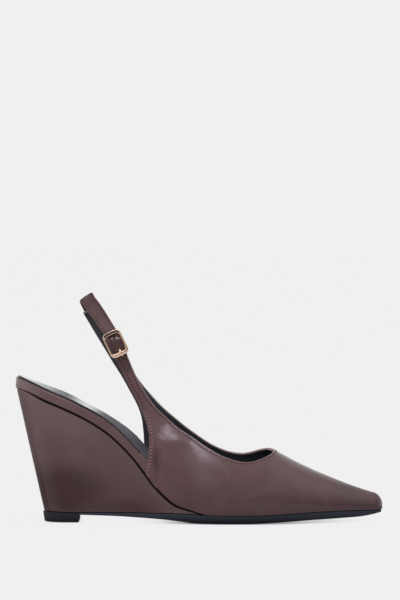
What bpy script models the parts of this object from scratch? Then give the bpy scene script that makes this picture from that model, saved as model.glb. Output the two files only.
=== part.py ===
"""Pointed slingback pump on a covered wedge heel, a right shoe at real size.

Every table and size is in millimetres. X runs from the back of the heel to the toe, Z is up from the
floor, the lateral side is -Y and the medial side is +Y. The last step centres the shoe on its origin.
"""
import math
from collections import namedtuple

import bmesh
import bpy
from mathutils import Matrix, Vector

# Driving sizes
MM = 0.001
SHOE_LENGTH = 245.0
UPPER_WALL = 1.8
STRAP_THICKNESS = 2.0
STRAP_WIDTH = 10.0
SEAT_GAP = 0.3
LATERAL = -1
MEDIAL = 1

# Rounded ends in plan and in profile
TOE_ROUND = 7.0
TOE_TOP_ROUND = 5.0
TOE_TIP_HEIGHT = 11.0
HEEL_ROUND = 24.0
HEEL_BASE_ROUND = 14.0

# Sole edge seen from above: half widths at each station
Edge = namedtuple("Edge", "x lateral medial")
SOLE_EDGE = [
    Edge(0, 24.0, 23.4),
    Edge(24, 26.2, 25.2),
    Edge(40, 27.2, 25.4),
    Edge(55, 27.0, 24.0),
    Edge(70, 26.4, 22.2),
    Edge(85, 26.6, 21.2),
    Edge(100, 28.5, 22.6),
    Edge(115, 31.8, 26.0),
    Edge(130, 35.2, 30.2),
    Edge(145, 36.8, 34.0),
    Edge(158, 36.6, 35.6),
    Edge(173, 33.8, 34.4),
    Edge(190, 28.6, 29.6),
    Edge(206, 22.6, 23.8),
    Edge(220, 16.6, 17.8),
    Edge(232, 11.4, 12.2),
    Edge(240, 8.0, 8.4),
    Edge(245, 6.0, 6.2),
]

# Last above the sole edge: widest half widths, and the ridge of the instep and toe
Last = namedtuple("Last", "x lateral medial ridge_y ridge_z")
LAST = [
    Last(85, 28.0, 25.5, 4.0, 106.0),
    Last(100, 30.5, 27.0, 4.0, 95.0),
    Last(115, 33.5, 30.0, 4.0, 83.0),
    Last(130, 37.4, 34.0, 3.8, 72.0),
    Last(145, 39.2, 37.2, 3.5, 63.0),
    Last(158, 39.0, 38.2, 3.2, 55.5),
    Last(173, 36.0, 36.6, 2.8, 47.3),
    Last(190, 30.4, 31.4, 2.2, 38.1),
    Last(206, 23.6, 24.8, 1.6, 31.0),
    Last(220, 17.4, 18.6, 1.0, 25.4),
    Last(232, 12.0, 12.8, 0.5, 21.2),
    Last(240, 8.4, 8.8, 0.2, 18.6),
    Last(245, 6.3, 6.5, 0.0, 17.0),
]
WIDEST_SHARE = 0.35
ARCH_POWER = 2.3

# Seam line between what stands above and what lies below: footbed and upper on wedge and outsole
Seam = namedtuple("Seam", "x z")
SEAM = [
    Seam(0, 89.2),
    Seam(8, 87.2),
    Seam(20.5, 81.1),
    Seam(29, 77.5),
    Seam(46.6, 69.2),
    Seam(61, 60.0),
    Seam(72, 50.1),
    Seam(79.2, 42.2),
    Seam(86, 33.2),
    Seam(92, 25.0),
    Seam(100.4, 16.4),
    Seam(107, 11.6),
    Seam(114.5, 9.0),
    Seam(120, 7.3),
    Seam(126, 6.2),
    Seam(140, 5.9),
    Seam(158, 5.9),
    Seam(176, 6.4),
    Seam(190, 7.0),
    Seam(216, 7.9),
    Seam(245, 7.8),
]

# Top of the footbed at its two edges, down the heel seat and the arch to the toe
Seat = namedtuple("Seat", "x lateral medial")
FOOTBED_TOP = [
    Seat(0, 97.2, 97.2),
    Seat(5.2, 95.4, 94.6),
    Seat(13.8, 91.7, 91.0),
    Seat(21, 88.3, 88.2),
    Seat(29, 84.9, 85.3),
    Seat(39, 80.5, 80.7),
    Seat(47, 76.2, 76.2),
    Seat(56, 71.6, 71.6),
    Seat(68, 62.5, 64.2),
    Seat(78, 52.5, 56.8),
    Seat(88, 41.1, 45.5),
    Seat(94, 34.7, 38.1),
    Seat(100, 28.7, 31.0),
    Seat(106, 23.3, 24.8),
    Seat(112, 19.0, 19.8),
    Seat(118, 15.6, 16.0),
    Seat(124, 13.2, 13.2),
    Seat(132, 10.8, 10.8),
    Seat(142, 9.4, 9.4),
    Seat(155, 9.0, 9.0),
    Seat(176, 9.5, 9.5),
    Seat(190, 10.1, 10.1),
    Seat(216, 10.9, 10.9),
    Seat(245, 10.9, 10.9),
]
FOOTBED_TIP = 237.0
FOOTBED_EDGE_ROUND = 0.9
FOOTBED_LEAST_HALF = 0.8
HEEL_LEAN = 0.7
BAND_END_LOW = 85.6
BAND_END_HIGH = 86.9
BAND_STEP = 0.25
BAND_LEAN_REACH = 30.0
BAND_STATIONS = 24
INSIDE_STATIONS = 30
SOCK_THICKNESS = 0.8
SOCK_MARGIN = 1.6
SOCK_NARROWING = 4.0
SOCK_REAR_STATIONS = 20
SOCK_FRONT_STATIONS = 26

# Wedge where it stands on the top piece and the outsole
WEDGE_BASE = [
    Edge(18.6, 16.4, 15.8),
    Edge(43, 17.0, 16.2),
    Edge(60, 18.8, 17.0),
    Edge(80, 22.4, 18.6),
    Edge(100, 27.2, 21.6),
    Edge(115, 31.2, 25.4),
    Edge(121, 32.8, 27.4),
]
WEDGE_BACK = 0.6
WEDGE_BASE_BACK = 18.6
WEDGE_TIP = 121.0
WEDGE_HOLLOW = 1.4
WEDGE_STATIONS = 30
WEDGE_SIDE_STEPS = 5

# Outsole: heights of its two faces
Sheet = namedtuple("Sheet", "x top bottom")
OUTSOLE = [
    Sheet(43.0, 6.5, 4.9),
    Sheet(66.7, 6.5, 4.3),
    Sheet(88.0, 6.5, 3.2),
    Sheet(98.8, 6.45, 2.5),
    Sheet(109.5, 6.3, 1.4),
    Sheet(118.0, 6.05, 0.3),
    Sheet(123.0, 5.95, 0.0),
    Sheet(150.0, 5.6, 0.0),
    Sheet(158.0, 5.6, 0.1),
    Sheet(176.0, 6.1, 0.8),
    Sheet(195.0, 6.85, 1.9),
    Sheet(216.0, 7.6, 2.7),
    Sheet(230.0, 7.5, 3.4),
    Sheet(244.3, 7.5, 5.8),
]
OUTSOLE_TIP = 244.3
OUTSOLE_INSET = 0.9
OUTSOLE_CHAMFER = 0.6
OUTSOLE_REAR_STATIONS = 14
OUTSOLE_FRONT_STATIONS = 22

# Top piece under the back of the wedge
TOP_PIECE_FRONT = 42.5
TOP_PIECE_HEIGHT = 6.5
TOP_PIECE_CHAMFER = 0.4
TOP_PIECE_INSET = 0.2
TOP_PIECE_STATIONS = 12

# Wing ribs, from the strap down towards the seam: rear edge, then front edge
Rib = namedtuple("Rib", "rear_x rear_z front_x front_z")
LATERAL_WING = [
    Rib(51.4, 137.2, 58.0, 141.6),
    Rib(58.0, 127.2, 64.6, 131.6),
    Rib(62.2, 117.8, 69.2, 121.2),
    Rib(66.7, 109.5, 73.7, 112.7),
    Rib(70.6, 101.2, 77.2, 105.0),
    Rib(74.6, 93.0, 81.2, 96.4),
    Rib(79.2, 84.6, 86.4, 87.0),
    Rib(84.0, 74.6, 93.8, 76.8),
    Rib(87.4, 65.6, 101.6, 69.6),
    Rib(89.0, 56.4, 108.8, 63.2),
    Rib(88.9, 47.4, 115.0, 59.3),
    Rib(87.8, 39.6, 120.5, 55.7),
]
MEDIAL_WING = [
    Rib(44.4, 138.8, 51.7, 143.6),
    Rib(52.0, 126.0, 59.3, 130.7),
    Rib(59.0, 114.4, 66.4, 119.0),
    Rib(64.8, 104.7, 72.4, 109.0),
    Rib(69.8, 96.6, 77.2, 100.4),
    Rib(74.2, 88.6, 82.9, 91.9),
    Rib(80.0, 77.6, 91.0, 82.4),
    Rib(83.4, 68.8, 98.4, 74.8),
    Rib(84.9, 60.5, 106.0, 68.2),
    Rib(86.2, 52.0, 113.0, 62.4),
    Rib(87.9, 42.0, 119.5, 57.6),
]

# Quarter ribs, from the rear corner on the seam to the throat: foot on the seam, then topline
Quarter = namedtuple("Quarter", "foot_x front_x front_z")
LATERAL_QUARTER = [
    Quarter(86.4, 125.5, 52.2),
    Quarter(92.0, 130.5, 49.1),
    Quarter(99.0, 135.5, 46.3),
    Quarter(107.0, 141.0, 43.9),
    Quarter(116.0, 147.0, 42.0),
    Quarter(127.0, 153.0, 41.0),
    Quarter(138.0, 159.0, 41.5),
    Quarter(148.0, 164.6, 43.2),
    Quarter(157.0, 168.9, 44.8),
    Quarter(164.5, 171.7, 46.3),
]
MEDIAL_QUARTER = [
    Quarter(86.4, 125.5, 53.3),
    Quarter(92.0, 131.0, 49.9),
    Quarter(99.0, 136.5, 47.2),
    Quarter(107.0, 142.2, 45.2),
    Quarter(116.0, 147.6, 44.2),
    Quarter(127.0, 153.2, 44.0),
    Quarter(138.0, 159.0, 45.4),
    Quarter(148.0, 164.2, 47.1),
    Quarter(157.0, 168.6, 48.1),
    Quarter(164.5, 171.5, 47.9),
]
THROAT_X = 173.0
THROAT_FOOT_X = 170.0
RIB_STEPS = 2
RIB_COLUMNS = 10
VAMP_RIBS = 20

# Strap loop: its end behind the heel, the way it runs in side view, and its plan
LOOP_END = Vector((49.0, 0.0, 148.8))
STRAP_ALONG = Vector((0.555, 0.0, -0.832))
STRAP_ACROSS = Vector((0.832, 0.0, 0.555))
LOOP_DEPTH = 16.0
LOOP_HALF_WIDTH = 19.0
LOOP_SPREAD = 0.08
MEDIAL_DROP = -5.0
WING_FREE = 60.0
WING_ON_LAST = 105.0
STRAP_BUCKLE_END = 28.0
STRAP_JOINT_END = 22.0
STRAP_LEG_STEPS = 5
STRAP_TURN_STEPS = 20

# Buckle: outer size, opening and bar sizes
BUCKLE_CENTRE = (66.8, 119.0)
BUCKLE_DOWN = (0.43, -0.903)
BUCKLE_WIDTH = 11.8
BUCKLE_LENGTH = 16.8
BUCKLE_OPENING_WIDTH = 9.2
BUCKLE_OPENING_LENGTH = 12.0
BUCKLE_CORNER = 3.0
BUCKLE_OPENING_CORNER = 1.8
BUCKLE_THICKNESS = 1.7
BUCKLE_EDGE_ROUND = 0.35
BUCKLE_CORNER_STEPS = 5
BUCKLE_TILT = 0.08
BUCKLE_CLEAR = 1.65
PRONG_RADIUS = 0.65
PRONG_ROOT_DOWN = 3.6
PRONG_TIP_DOWN = 9.2

COLLECTION_NAME = "wedge_slingback_pump"
CLOSE_UP_POWER = 1.8
SMOOTH_ANGLE = math.radians(40.0)
WELD_DISTANCE = 0.00001


def clear_scene():
    """Remove every object that is in the scene."""
    for item in list(bpy.data.objects):
        bpy.data.objects.remove(item, do_unlink=True)


def smooth_column(table, name):
    """Return a monotone cubic curve through one column of a table, as a function of x."""
    xs = [row.x for row in table]
    ys = [getattr(row, name) for row in table]
    widths = [b - a for a, b in zip(xs, xs[1:])]
    slopes = [(b - a) / w for a, b, w in zip(ys, ys[1:], widths)]
    tangents = [slopes[0]]
    for left, right in zip(slopes, slopes[1:]):
        same_way = left * right > 0.0
        tangents.append(2.0 * left * right / (left + right) if same_way else 0.0)
    tangents.append(slopes[-1])

    def value(x):
        if x <= xs[0]:
            return ys[0]
        if x >= xs[-1]:
            return ys[-1]
        index = max(i for i, start in enumerate(xs) if start <= x)
        width = widths[index]
        t = (x - xs[index]) / width
        rise = (1.0 + 2.0 * t) * (1.0 - t) ** 2 * ys[index] + t * t * (3.0 - 2.0 * t) * ys[index + 1]
        lean = t * (1.0 - t) ** 2 * tangents[index] - t * t * (1.0 - t) * tangents[index + 1]
        return rise + width * lean

    return value


def round_end(distance, radius):
    """Share of the full width at a distance from a rounded end."""
    if distance >= radius:
        return 1.0
    inside = 1.0 - max(distance, 0.0) / radius
    return math.sqrt(1.0 - inside * inside)


def ease(value):
    """Smooth step from 0 to 1."""
    value = min(max(value, 0.0), 1.0)
    return value * value * (3.0 - 2.0 * value)


EDGE_HALF = {LATERAL: smooth_column(SOLE_EDGE, "lateral"), MEDIAL: smooth_column(SOLE_EDGE, "medial")}
BODY_HALF = {LATERAL: smooth_column(LAST, "lateral"), MEDIAL: smooth_column(LAST, "medial")}
BASE_HALF = {LATERAL: smooth_column(WEDGE_BASE, "lateral"), MEDIAL: smooth_column(WEDGE_BASE, "medial")}
ridge_offset = smooth_column(LAST, "ridge_y")
ridge_table = smooth_column(LAST, "ridge_z")
seam_height = smooth_column(SEAM, "z")
SEAT_EDGE = {LATERAL: smooth_column(FOOTBED_TOP, "lateral"), MEDIAL: smooth_column(FOOTBED_TOP, "medial")}
outsole_top = smooth_column(OUTSOLE, "top")
outsole_bottom = smooth_column(OUTSOLE, "bottom")


def sole_half(x, side):
    """Half width of the sole edge, rounded at heel and toe."""
    ends = round_end(x, HEEL_ROUND) * round_end(SHOE_LENGTH - x, TOE_ROUND)
    return EDGE_HALF[side](x) * ends


def base_half(x, side):
    """Half width of the wedge's base, rounded at its back."""
    return BASE_HALF[side](x) * round_end(x - WEDGE_BASE_BACK, HEEL_BASE_ROUND)


def seam_gap(x):
    """Upright distance that keeps half the seat gap square to the sloping seam."""
    slope = seam_height(x + 0.5) - seam_height(x - 0.5)
    return 0.5 * SEAT_GAP * math.hypot(1.0, slope)


def ridge_height(x):
    """Top line of the last, rounded down to the toe tip."""
    drop = round_end(SHOE_LENGTH - x, TOE_TOP_ROUND)
    return TOE_TIP_HEIGHT + (ridge_table(x) - TOE_TIP_HEIGHT) * drop


def leg_half(along):
    """Half width of the strap loop at a distance from its end."""
    if along < LOOP_DEPTH:
        return LOOP_HALF_WIDTH * round_end(along, LOOP_DEPTH)
    return LOOP_HALF_WIDTH + LOOP_SPREAD * (along - LOOP_DEPTH)


def last_y(x, z, side):
    """Side of the last at a station and height."""
    bottom = seam_height(x)
    share = min(max((z - bottom) / (ridge_height(x) - bottom), 0.0), 1.0)
    body = BODY_HALF[side](x) * round_end(SHOE_LENGTH - x, TOE_ROUND)
    flare = ease(share / WIDEST_SHARE)
    width = sole_half(x, side) * (1.0 - flare) + body * flare
    arch = math.sqrt(1.0 - share ** ARCH_POWER)
    return ridge_offset(x) * (1.0 - arch) + side * width * arch


def upper_y(x, z, side):
    """Outside of the upper: on the last low down, on the strap's legs higher up."""
    along = (Vector((x, 0.0, z)) - LOOP_END).dot(STRAP_ALONG)
    on_leg = ease((WING_ON_LAST - along) / (WING_ON_LAST - WING_FREE))
    if on_leg == 0.0:
        return last_y(x, z, side)
    return last_y(x, z, side) * (1.0 - on_leg) + side * leg_half(along) * on_leg


def make_material(name, colour, roughness, metallic=0.0):
    """Plain Principled material."""
    material = bpy.data.materials.new(name)
    material.use_nodes = True
    shader = material.node_tree.nodes["Principled BSDF"]
    shader.inputs["Base Color"].default_value = (*colour, 1.0)
    shader.inputs["Roughness"].default_value = roughness
    shader.inputs["Metallic"].default_value = metallic
    return material


def add_object(name, mesh, material):
    """Put a mesh in the shoe's collection, smooth between its sharp edges."""
    mesh.materials.append(material)
    mesh.shade_smooth()
    mesh.set_sharp_from_angle(angle=SMOOTH_ANGLE)
    item = bpy.data.objects.new(name, mesh)
    bpy.data.collections[COLLECTION_NAME].objects.link(item)
    return item


def finish_mesh(name, shell):
    """Weld a bmesh and return it as a mesh."""
    bmesh.ops.remove_doubles(shell, verts=shell.verts, dist=WELD_DISTANCE)
    bmesh.ops.dissolve_degenerate(shell, edges=shell.edges, dist=0.1 * WELD_DISTANCE)
    mesh = bpy.data.meshes.new(name)
    shell.to_mesh(mesh)
    shell.free()
    return mesh


def loft(name, loops, material, cap_start=True, cap_end=True):
    """Closed body through loops that have the same number of points."""
    shell = bmesh.new()
    rings = [[shell.verts.new(Vector(point) * MM) for point in loop] for loop in loops]
    count = len(rings[0])
    for ring, following in zip(rings, rings[1:]):
        for i in range(count):
            j = (i + 1) % count
            shell.faces.new((ring[i], ring[j], following[j], following[i]))
    if cap_start:
        shell.faces.new(list(reversed(rings[0])))
    if cap_end:
        shell.faces.new(rings[-1])
    bmesh.ops.remove_doubles(shell, verts=shell.verts, dist=WELD_DISTANCE)
    bmesh.ops.recalc_face_normals(shell, faces=shell.faces)
    return add_object(name, finish_mesh(name, shell), material)


def spaced(start, stop, count, close_up=None):
    """Stations from start to stop, closing up towards one end where the shape is round."""
    shares = [i / count for i in range(count + 1)]
    if close_up == "start":
        shares = [share ** CLOSE_UP_POWER for share in shares]
    if close_up == "stop":
        shares = [1.0 - (1.0 - share) ** CLOSE_UP_POWER for share in shares]
    return [start + (stop - start) * share for share in shares]


def outsole_half(x, side):
    """Half width of the outsole, flush with the wedge behind and drawn in under the upper in front."""
    if x < WEDGE_TIP:
        return BASE_HALF[side](x)
    drawn_in = sole_half(x + SHOE_LENGTH - OUTSOLE_TIP, side) - OUTSOLE_INSET
    return max(drawn_in, OUTSOLE_INSET)


def build_outsole(material):
    """Thin sole with a chamfered lower edge."""
    rear = spaced(TOP_PIECE_FRONT + 0.5, WEDGE_TIP + 2.0, OUTSOLE_REAR_STATIONS)
    front = spaced(WEDGE_TIP + 2.0, OUTSOLE_TIP, OUTSOLE_FRONT_STATIONS, "stop")
    loops = []
    for x in rear + front[1:]:
        low, high = outsole_bottom(x), outsole_top(x)
        left, right = -outsole_half(x, LATERAL), outsole_half(x, MEDIAL)
        cut = min(OUTSOLE_CHAMFER, 0.4 * (high - low), 0.4 * right)
        loops.append([
            (x, left + cut, low),
            (x, right - cut, low),
            (x, right, low + cut),
            (x, right, high),
            (x, left, high),
            (x, left, low + cut),
        ])
    return loft("outsole", loops, material)


def build_top_piece(material):
    """Heel tip with the outline of the wedge's base."""
    stations = spaced(WEDGE_BASE_BACK, TOP_PIECE_FRONT, TOP_PIECE_STATIONS, "start")
    outline = [(x, -base_half(x, LATERAL)) for x in reversed(stations)]
    outline += [(x, base_half(x, MEDIAL)) for x in stations[1:]]
    middle = 0.5 * (WEDGE_BASE_BACK + TOP_PIECE_FRONT)

    def ring(height, inset):
        share = 1.0 - inset / (0.5 * (TOP_PIECE_FRONT - WEDGE_BASE_BACK))
        return [(middle + (x - middle) * share, y * share, height) for x, y in outline]

    loops = [
        ring(0.0, TOP_PIECE_INSET + TOP_PIECE_CHAMFER),
        ring(TOP_PIECE_CHAMFER, TOP_PIECE_INSET),
        ring(TOP_PIECE_HEIGHT, TOP_PIECE_INSET),
    ]
    return loft("top_piece", loops, material)


def build_wedge(material):
    """Covered wedge between the seam and the floor pieces, with slightly hollow sides."""
    tops = spaced(WEDGE_BACK, WEDGE_TIP, WEDGE_STATIONS, "start")
    bases = spaced(WEDGE_BASE_BACK, WEDGE_TIP, WEDGE_STATIONS, "start")
    loops = []
    for x_top, x_base in zip(tops, bases):
        z_top = seam_height(x_top) - seam_gap(x_top)
        z_base = outsole_top(x_base) + SEAT_GAP
        reach = ease((x_top - WEDGE_BACK) / HEEL_ROUND) * ease((WEDGE_TIP - x_top) / HEEL_ROUND)

        def side_points(side):
            points = []
            for step in range(WEDGE_SIDE_STEPS + 1):
                share = step / WEDGE_SIDE_STEPS
                top = sole_half(x_top - WEDGE_BACK, side)
                base = base_half(x_base, side)
                hollow = WEDGE_HOLLOW * reach * math.sin(math.pi * share)
                y = top + (base - top) * share - hollow
                x = x_top + (x_base - x_top) * share
                points.append((x, side * y, z_top + (z_base - z_top) * share))
            return points

        loops.append(side_points(LATERAL) + list(reversed(side_points(MEDIAL))))
    return loft("wedge_heel", loops, material, cap_start=False)


def footbed_half(x, side):
    """Half width of the footbed: flush with the wedge behind, inside the upper in front."""
    if x <= BAND_END_LOW:
        return sole_half(x, side)
    return max(sole_half(x, side) - UPPER_WALL - 1.5 * SEAT_GAP, FOOTBED_LEAST_HALF)


def seat_height(x, y):
    """Top of the footbed, straight across between the heights of its two edges."""
    left, right = (footbed_half(x, side) - FOOTBED_EDGE_ROUND for side in (LATERAL, MEDIAL))
    share = min(max((y + left) / max(left + right, FOOTBED_LEAST_HALF), 0.0), 1.0)
    return SEAT_EDGE[LATERAL](x) * (1.0 - share) + SEAT_EDGE[MEDIAL](x) * share


def build_footbed(material):
    """Wrapped insole board, stepped in where the quarters begin, its back leaning in towards the top."""
    band = spaced(0.0, BAND_END_LOW, BAND_STATIONS, "start")
    inside = spaced(BAND_END_LOW + BAND_STEP, FOOTBED_TIP, INSIDE_STATIONS)
    lean = BAND_END_HIGH - BAND_END_LOW
    loops = []
    for x in band + inside:
        near_step = 1.0 - min(abs(x - BAND_END_LOW) / BAND_LEAN_REACH, 1.0)
        x_top = x + lean * ease(near_step) + HEEL_LEAN * ease(1.0 - x / HEEL_ROUND)
        low = seam_height(x) + seam_gap(x)
        edges = [SEAT_EDGE[side](x_top) for side in (LATERAL, MEDIAL)]
        level = 0.5 * sum(edges)
        lateral_top, medial_top = (level + (edge - level) * round_end(x, HEEL_ROUND) for edge in edges)
        left, right = -footbed_half(x, LATERAL), footbed_half(x, MEDIAL)
        cut = FOOTBED_EDGE_ROUND * round_end(x, HEEL_ROUND)
        loops.append([
            (x, left, low),
            (x, right, low),
            (x_top, right, medial_top - cut),
            (x_top, right - cut, medial_top),
            (x_top, left + cut, lateral_top),
            (x_top, left, lateral_top - cut),
        ])
    return loft("footbed", loops, material, cap_start=False)


def build_sock(material):
    """Thin sock lining on the footbed."""
    rear = spaced(SOCK_MARGIN, BAND_END_LOW, SOCK_REAR_STATIONS, "start")
    front = spaced(BAND_END_LOW + SOCK_NARROWING, FOOTBED_TIP - SOCK_MARGIN, SOCK_FRONT_STATIONS)
    loops = []
    for x in rear + front:
        slope = seat_height(x + 0.5, 0.0) - seat_height(x - 0.5, 0.0)
        upright = math.hypot(1.0, slope)
        inset = SOCK_MARGIN + UPPER_WALL + SEAT_GAP if x > BAND_END_LOW else SOCK_MARGIN
        left, right = (side * max(sole_half(x, side) - inset, 0.0) for side in (LATERAL, MEDIAL))
        low, high = SEAT_GAP * upright, (SEAT_GAP + SOCK_THICKNESS) * upright
        loops.append([
            (x, left, seat_height(x, left) + low),
            (x, right, seat_height(x, right) + low),
            (x, right, seat_height(x, right) + high),
            (x, left, seat_height(x, left) + high),
        ])
    return loft("insole_sock", loops, material)


def side_ribs(wing, quarter):
    """Ribs of one side of the upper as foot and top points in side view, and the corner's index."""
    rows = [((rib.rear_x, rib.rear_z), (rib.front_x, rib.front_z)) for rib in wing]
    for rib in quarter:
        foot = (rib.foot_x, seam_height(rib.foot_x) + seam_gap(rib.foot_x))
        rows.append((foot, (rib.front_x, rib.front_z)))
    throat_foot = (THROAT_FOOT_X, seam_height(THROAT_FOOT_X) + seam_gap(THROAT_FOOT_X))
    rows.append((throat_foot, (THROAT_X, ridge_height(THROAT_X))))
    return rows, len(wing)


def between(rows, index, share, end):
    """Catmull-Rom point between two ribs, at their foot (end 0) or top (end 1)."""
    picks = [rows[min(max(index + k, 0), len(rows) - 1)][end] for k in (-1, 0, 1, 2)]
    point = []
    for axis in (0, 1):
        a, b, c, d = (pick[axis] for pick in picks)
        curve = 2.0 * b + (c - a) * share
        curve += (2.0 * a - 5.0 * b + 4.0 * c - d) * share ** 2
        curve += (3.0 * b - a - 3.0 * c + d) * share ** 3
        point.append(0.5 * curve)
    return point


def upper_rib_lines(wing, quarter):
    """All ribs of one side, from the strap end to the toe, as foot, top and how round they space."""
    rows, corner = side_ribs(wing, quarter)
    lines = []
    for index in range(len(rows) - 1):
        for step in range(RIB_STEPS):
            share = step / RIB_STEPS
            foot = between(rows, index, share, 0)
            top = between(rows, index, share, 1)
            if index >= corner:
                foot[1] = seam_height(foot[0]) + seam_gap(foot[0])
            roundness = ease((index + share - corner) / (len(rows) - 1 - corner))
            lines.append((foot, top, roundness))
    slant = THROAT_X - THROAT_FOOT_X
    for x in spaced(THROAT_X, SHOE_LENGTH, VAMP_RIBS, "stop"):
        left = (SHOE_LENGTH - x) / (SHOE_LENGTH - THROAT_X)
        foot_x = x - slant * left * left
        foot = (foot_x, seam_height(foot_x) + seam_gap(foot_x))
        lines.append((foot, (x, ridge_height(x)), 1.0))
    return lines


def build_upper(material):
    """One hollow wall: vamp, quarters, wings, the buckle tail and the medial strap."""
    shell = bmesh.new()
    for side, wing, quarter in (
        (LATERAL, LATERAL_WING, LATERAL_QUARTER),
        (MEDIAL, MEDIAL_WING, MEDIAL_QUARTER),
    ):
        grid = []
        for foot, top, roundness in upper_rib_lines(wing, quarter):
            line = []
            for column in range(RIB_COLUMNS + 1):
                even = column / RIB_COLUMNS
                share = even + (math.sin(0.5 * math.pi * even) - even) * roundness
                x = foot[0] + (top[0] - foot[0]) * share
                z = foot[1] + (top[1] - foot[1]) * share
                line.append(shell.verts.new(Vector((x, upper_y(x, z, side), z)) * MM))
            grid.append(line)
        for line, following in zip(grid, grid[1:]):
            for column in range(RIB_COLUMNS):
                face = [line[column], following[column], following[column + 1], line[column + 1]]
                shell.faces.new(face if side == LATERAL else list(reversed(face)))
    item = add_object("upper", finish_mesh("upper", shell), material)
    wall = item.modifiers.new("wall", "SOLIDIFY")
    wall.thickness = UPPER_WALL * MM
    wall.offset = -1.0
    wall.use_even_offset = True
    wall.use_quality_normals = True
    return item


def strap_point(along, y, across, drop):
    """Point of the strap loop from its own coordinates."""
    point = LOOP_END + STRAP_ALONG * along + STRAP_ACROSS * (across + drop)
    return Vector((point.x, y, point.z))


def strap_path():
    """Plan of the loop, from the buckle round the heel to the medial joint: along, y, drop."""
    path = []
    for step in range(STRAP_LEG_STEPS):
        along = STRAP_BUCKLE_END + (LOOP_DEPTH - STRAP_BUCKLE_END) * step / STRAP_LEG_STEPS
        path.append((along, -leg_half(along), 0.0))
    for step in range(STRAP_TURN_STEPS + 1):
        share = step / STRAP_TURN_STEPS
        angle = math.pi * share
        along = LOOP_DEPTH * (1.0 - math.sin(angle))
        path.append((along, -LOOP_HALF_WIDTH * math.cos(angle), MEDIAL_DROP * ease(share)))
    for step in range(1, STRAP_LEG_STEPS + 1):
        along = LOOP_DEPTH + (STRAP_JOINT_END - LOOP_DEPTH) * step / STRAP_LEG_STEPS
        path.append((along, leg_half(along), MEDIAL_DROP))
    return path


def build_sling_strap(material):
    """Band round the back of the heel, lying on the outside of the two wing straps."""
    path = strap_path()
    outward = SEAT_GAP + STRAP_THICKNESS
    shell = bmesh.new()
    rows = []
    for index, (along, y, drop) in enumerate(path):
        before, after = path[max(index - 1, 0)], path[min(index + 1, len(path) - 1)]
        way = Vector((after[0] - before[0], after[1] - before[1])).normalized()
        along_out = along - way.y * outward
        y_out = y + way.x * outward
        row = []
        for across in (-0.5, 0.0, 0.5):
            row.append(shell.verts.new(strap_point(along_out, y_out, across * STRAP_WIDTH, drop) * MM))
        rows.append(row)
    for row, following in zip(rows, rows[1:]):
        for i in range(2):
            shell.faces.new((row[i], row[i + 1], following[i + 1], following[i]))
    item = add_object("sling_strap", finish_mesh("sling_strap", shell), material)
    band = item.modifiers.new("band", "SOLIDIFY")
    band.thickness = STRAP_THICKNESS * MM
    band.offset = -1.0
    return item


def buckle_axes():
    """Width, length and outward axes of the buckle, tilted to lie on tail and strap."""
    down = Vector((BUCKLE_DOWN[0], BUCKLE_TILT, BUCKLE_DOWN[1])).normalized()
    width = Vector((BUCKLE_DOWN[1], 0.0, -BUCKLE_DOWN[0])).normalized()
    outward = width.cross(down)
    return width, down, outward


def buckle_origin():
    """Centre of the frame's back face."""
    x, z = BUCKLE_CENTRE
    return Vector((x, upper_y(x, z, LATERAL) - BUCKLE_CLEAR, z))


def rounded_outline(width, length, corner):
    """Closed outline of a rectangle with round corners."""
    points = []
    for quarter in range(4):
        sign_x = 1 if quarter in (0, 3) else -1
        sign_y = 1 if quarter in (0, 1) else -1
        for step in range(BUCKLE_CORNER_STEPS + 1):
            angle = 0.5 * math.pi * (quarter + step / BUCKLE_CORNER_STEPS)
            x = sign_x * (0.5 * width - corner) + corner * math.cos(angle)
            y = sign_y * (0.5 * length - corner) + corner * math.sin(angle)
            points.append((x, y))
    return points


def curve_to_mesh(curve, name):
    """Mesh of a curve object, with its caps welded; the curve is removed."""
    evaluated = curve.evaluated_get(bpy.context.evaluated_depsgraph_get())
    shell = bmesh.new()
    source = bpy.data.meshes.new_from_object(evaluated)
    shell.from_mesh(source)
    bpy.data.meshes.remove(source)
    bmesh.ops.remove_doubles(shell, verts=shell.verts, dist=WELD_DISTANCE)
    bmesh.ops.recalc_face_normals(shell, faces=shell.faces)
    bpy.data.objects.remove(curve, do_unlink=True)
    return finish_mesh(name, shell)


def build_buckle_frame(material):
    """Frame with two end bars wider than its side bars."""
    data = bpy.data.curves.new("buckle_outline", "CURVE")
    data.dimensions = "2D"
    data.fill_mode = "BOTH"
    data.extrude = (0.5 * BUCKLE_THICKNESS - BUCKLE_EDGE_ROUND) * MM
    data.bevel_depth = BUCKLE_EDGE_ROUND * MM
    data.bevel_resolution = 1
    outer = rounded_outline(BUCKLE_WIDTH, BUCKLE_LENGTH, BUCKLE_CORNER)
    opening = rounded_outline(BUCKLE_OPENING_WIDTH, BUCKLE_OPENING_LENGTH, BUCKLE_OPENING_CORNER)
    for outline in (outer, opening):
        spline = data.splines.new("POLY")
        spline.points.add(len(outline) - 1)
        for point, (x, y) in zip(spline.points, outline):
            point.co = (x * MM, y * MM, 0.0, 1.0)
        spline.use_cyclic_u = True
    curve = bpy.data.objects.new("buckle_outline", data)
    bpy.data.collections[COLLECTION_NAME].objects.link(curve)
    bpy.context.view_layer.update()
    item = add_object("buckle_frame", curve_to_mesh(curve, "buckle_frame"), material)
    width, down, outward = buckle_axes()
    turn = Matrix((width, down, outward)).transposed()
    centre = buckle_origin() + outward * (0.5 * BUCKLE_THICKNESS)
    item.matrix_world = Matrix.Translation(centre * MM) @ turn.to_4x4()
    return item


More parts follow.
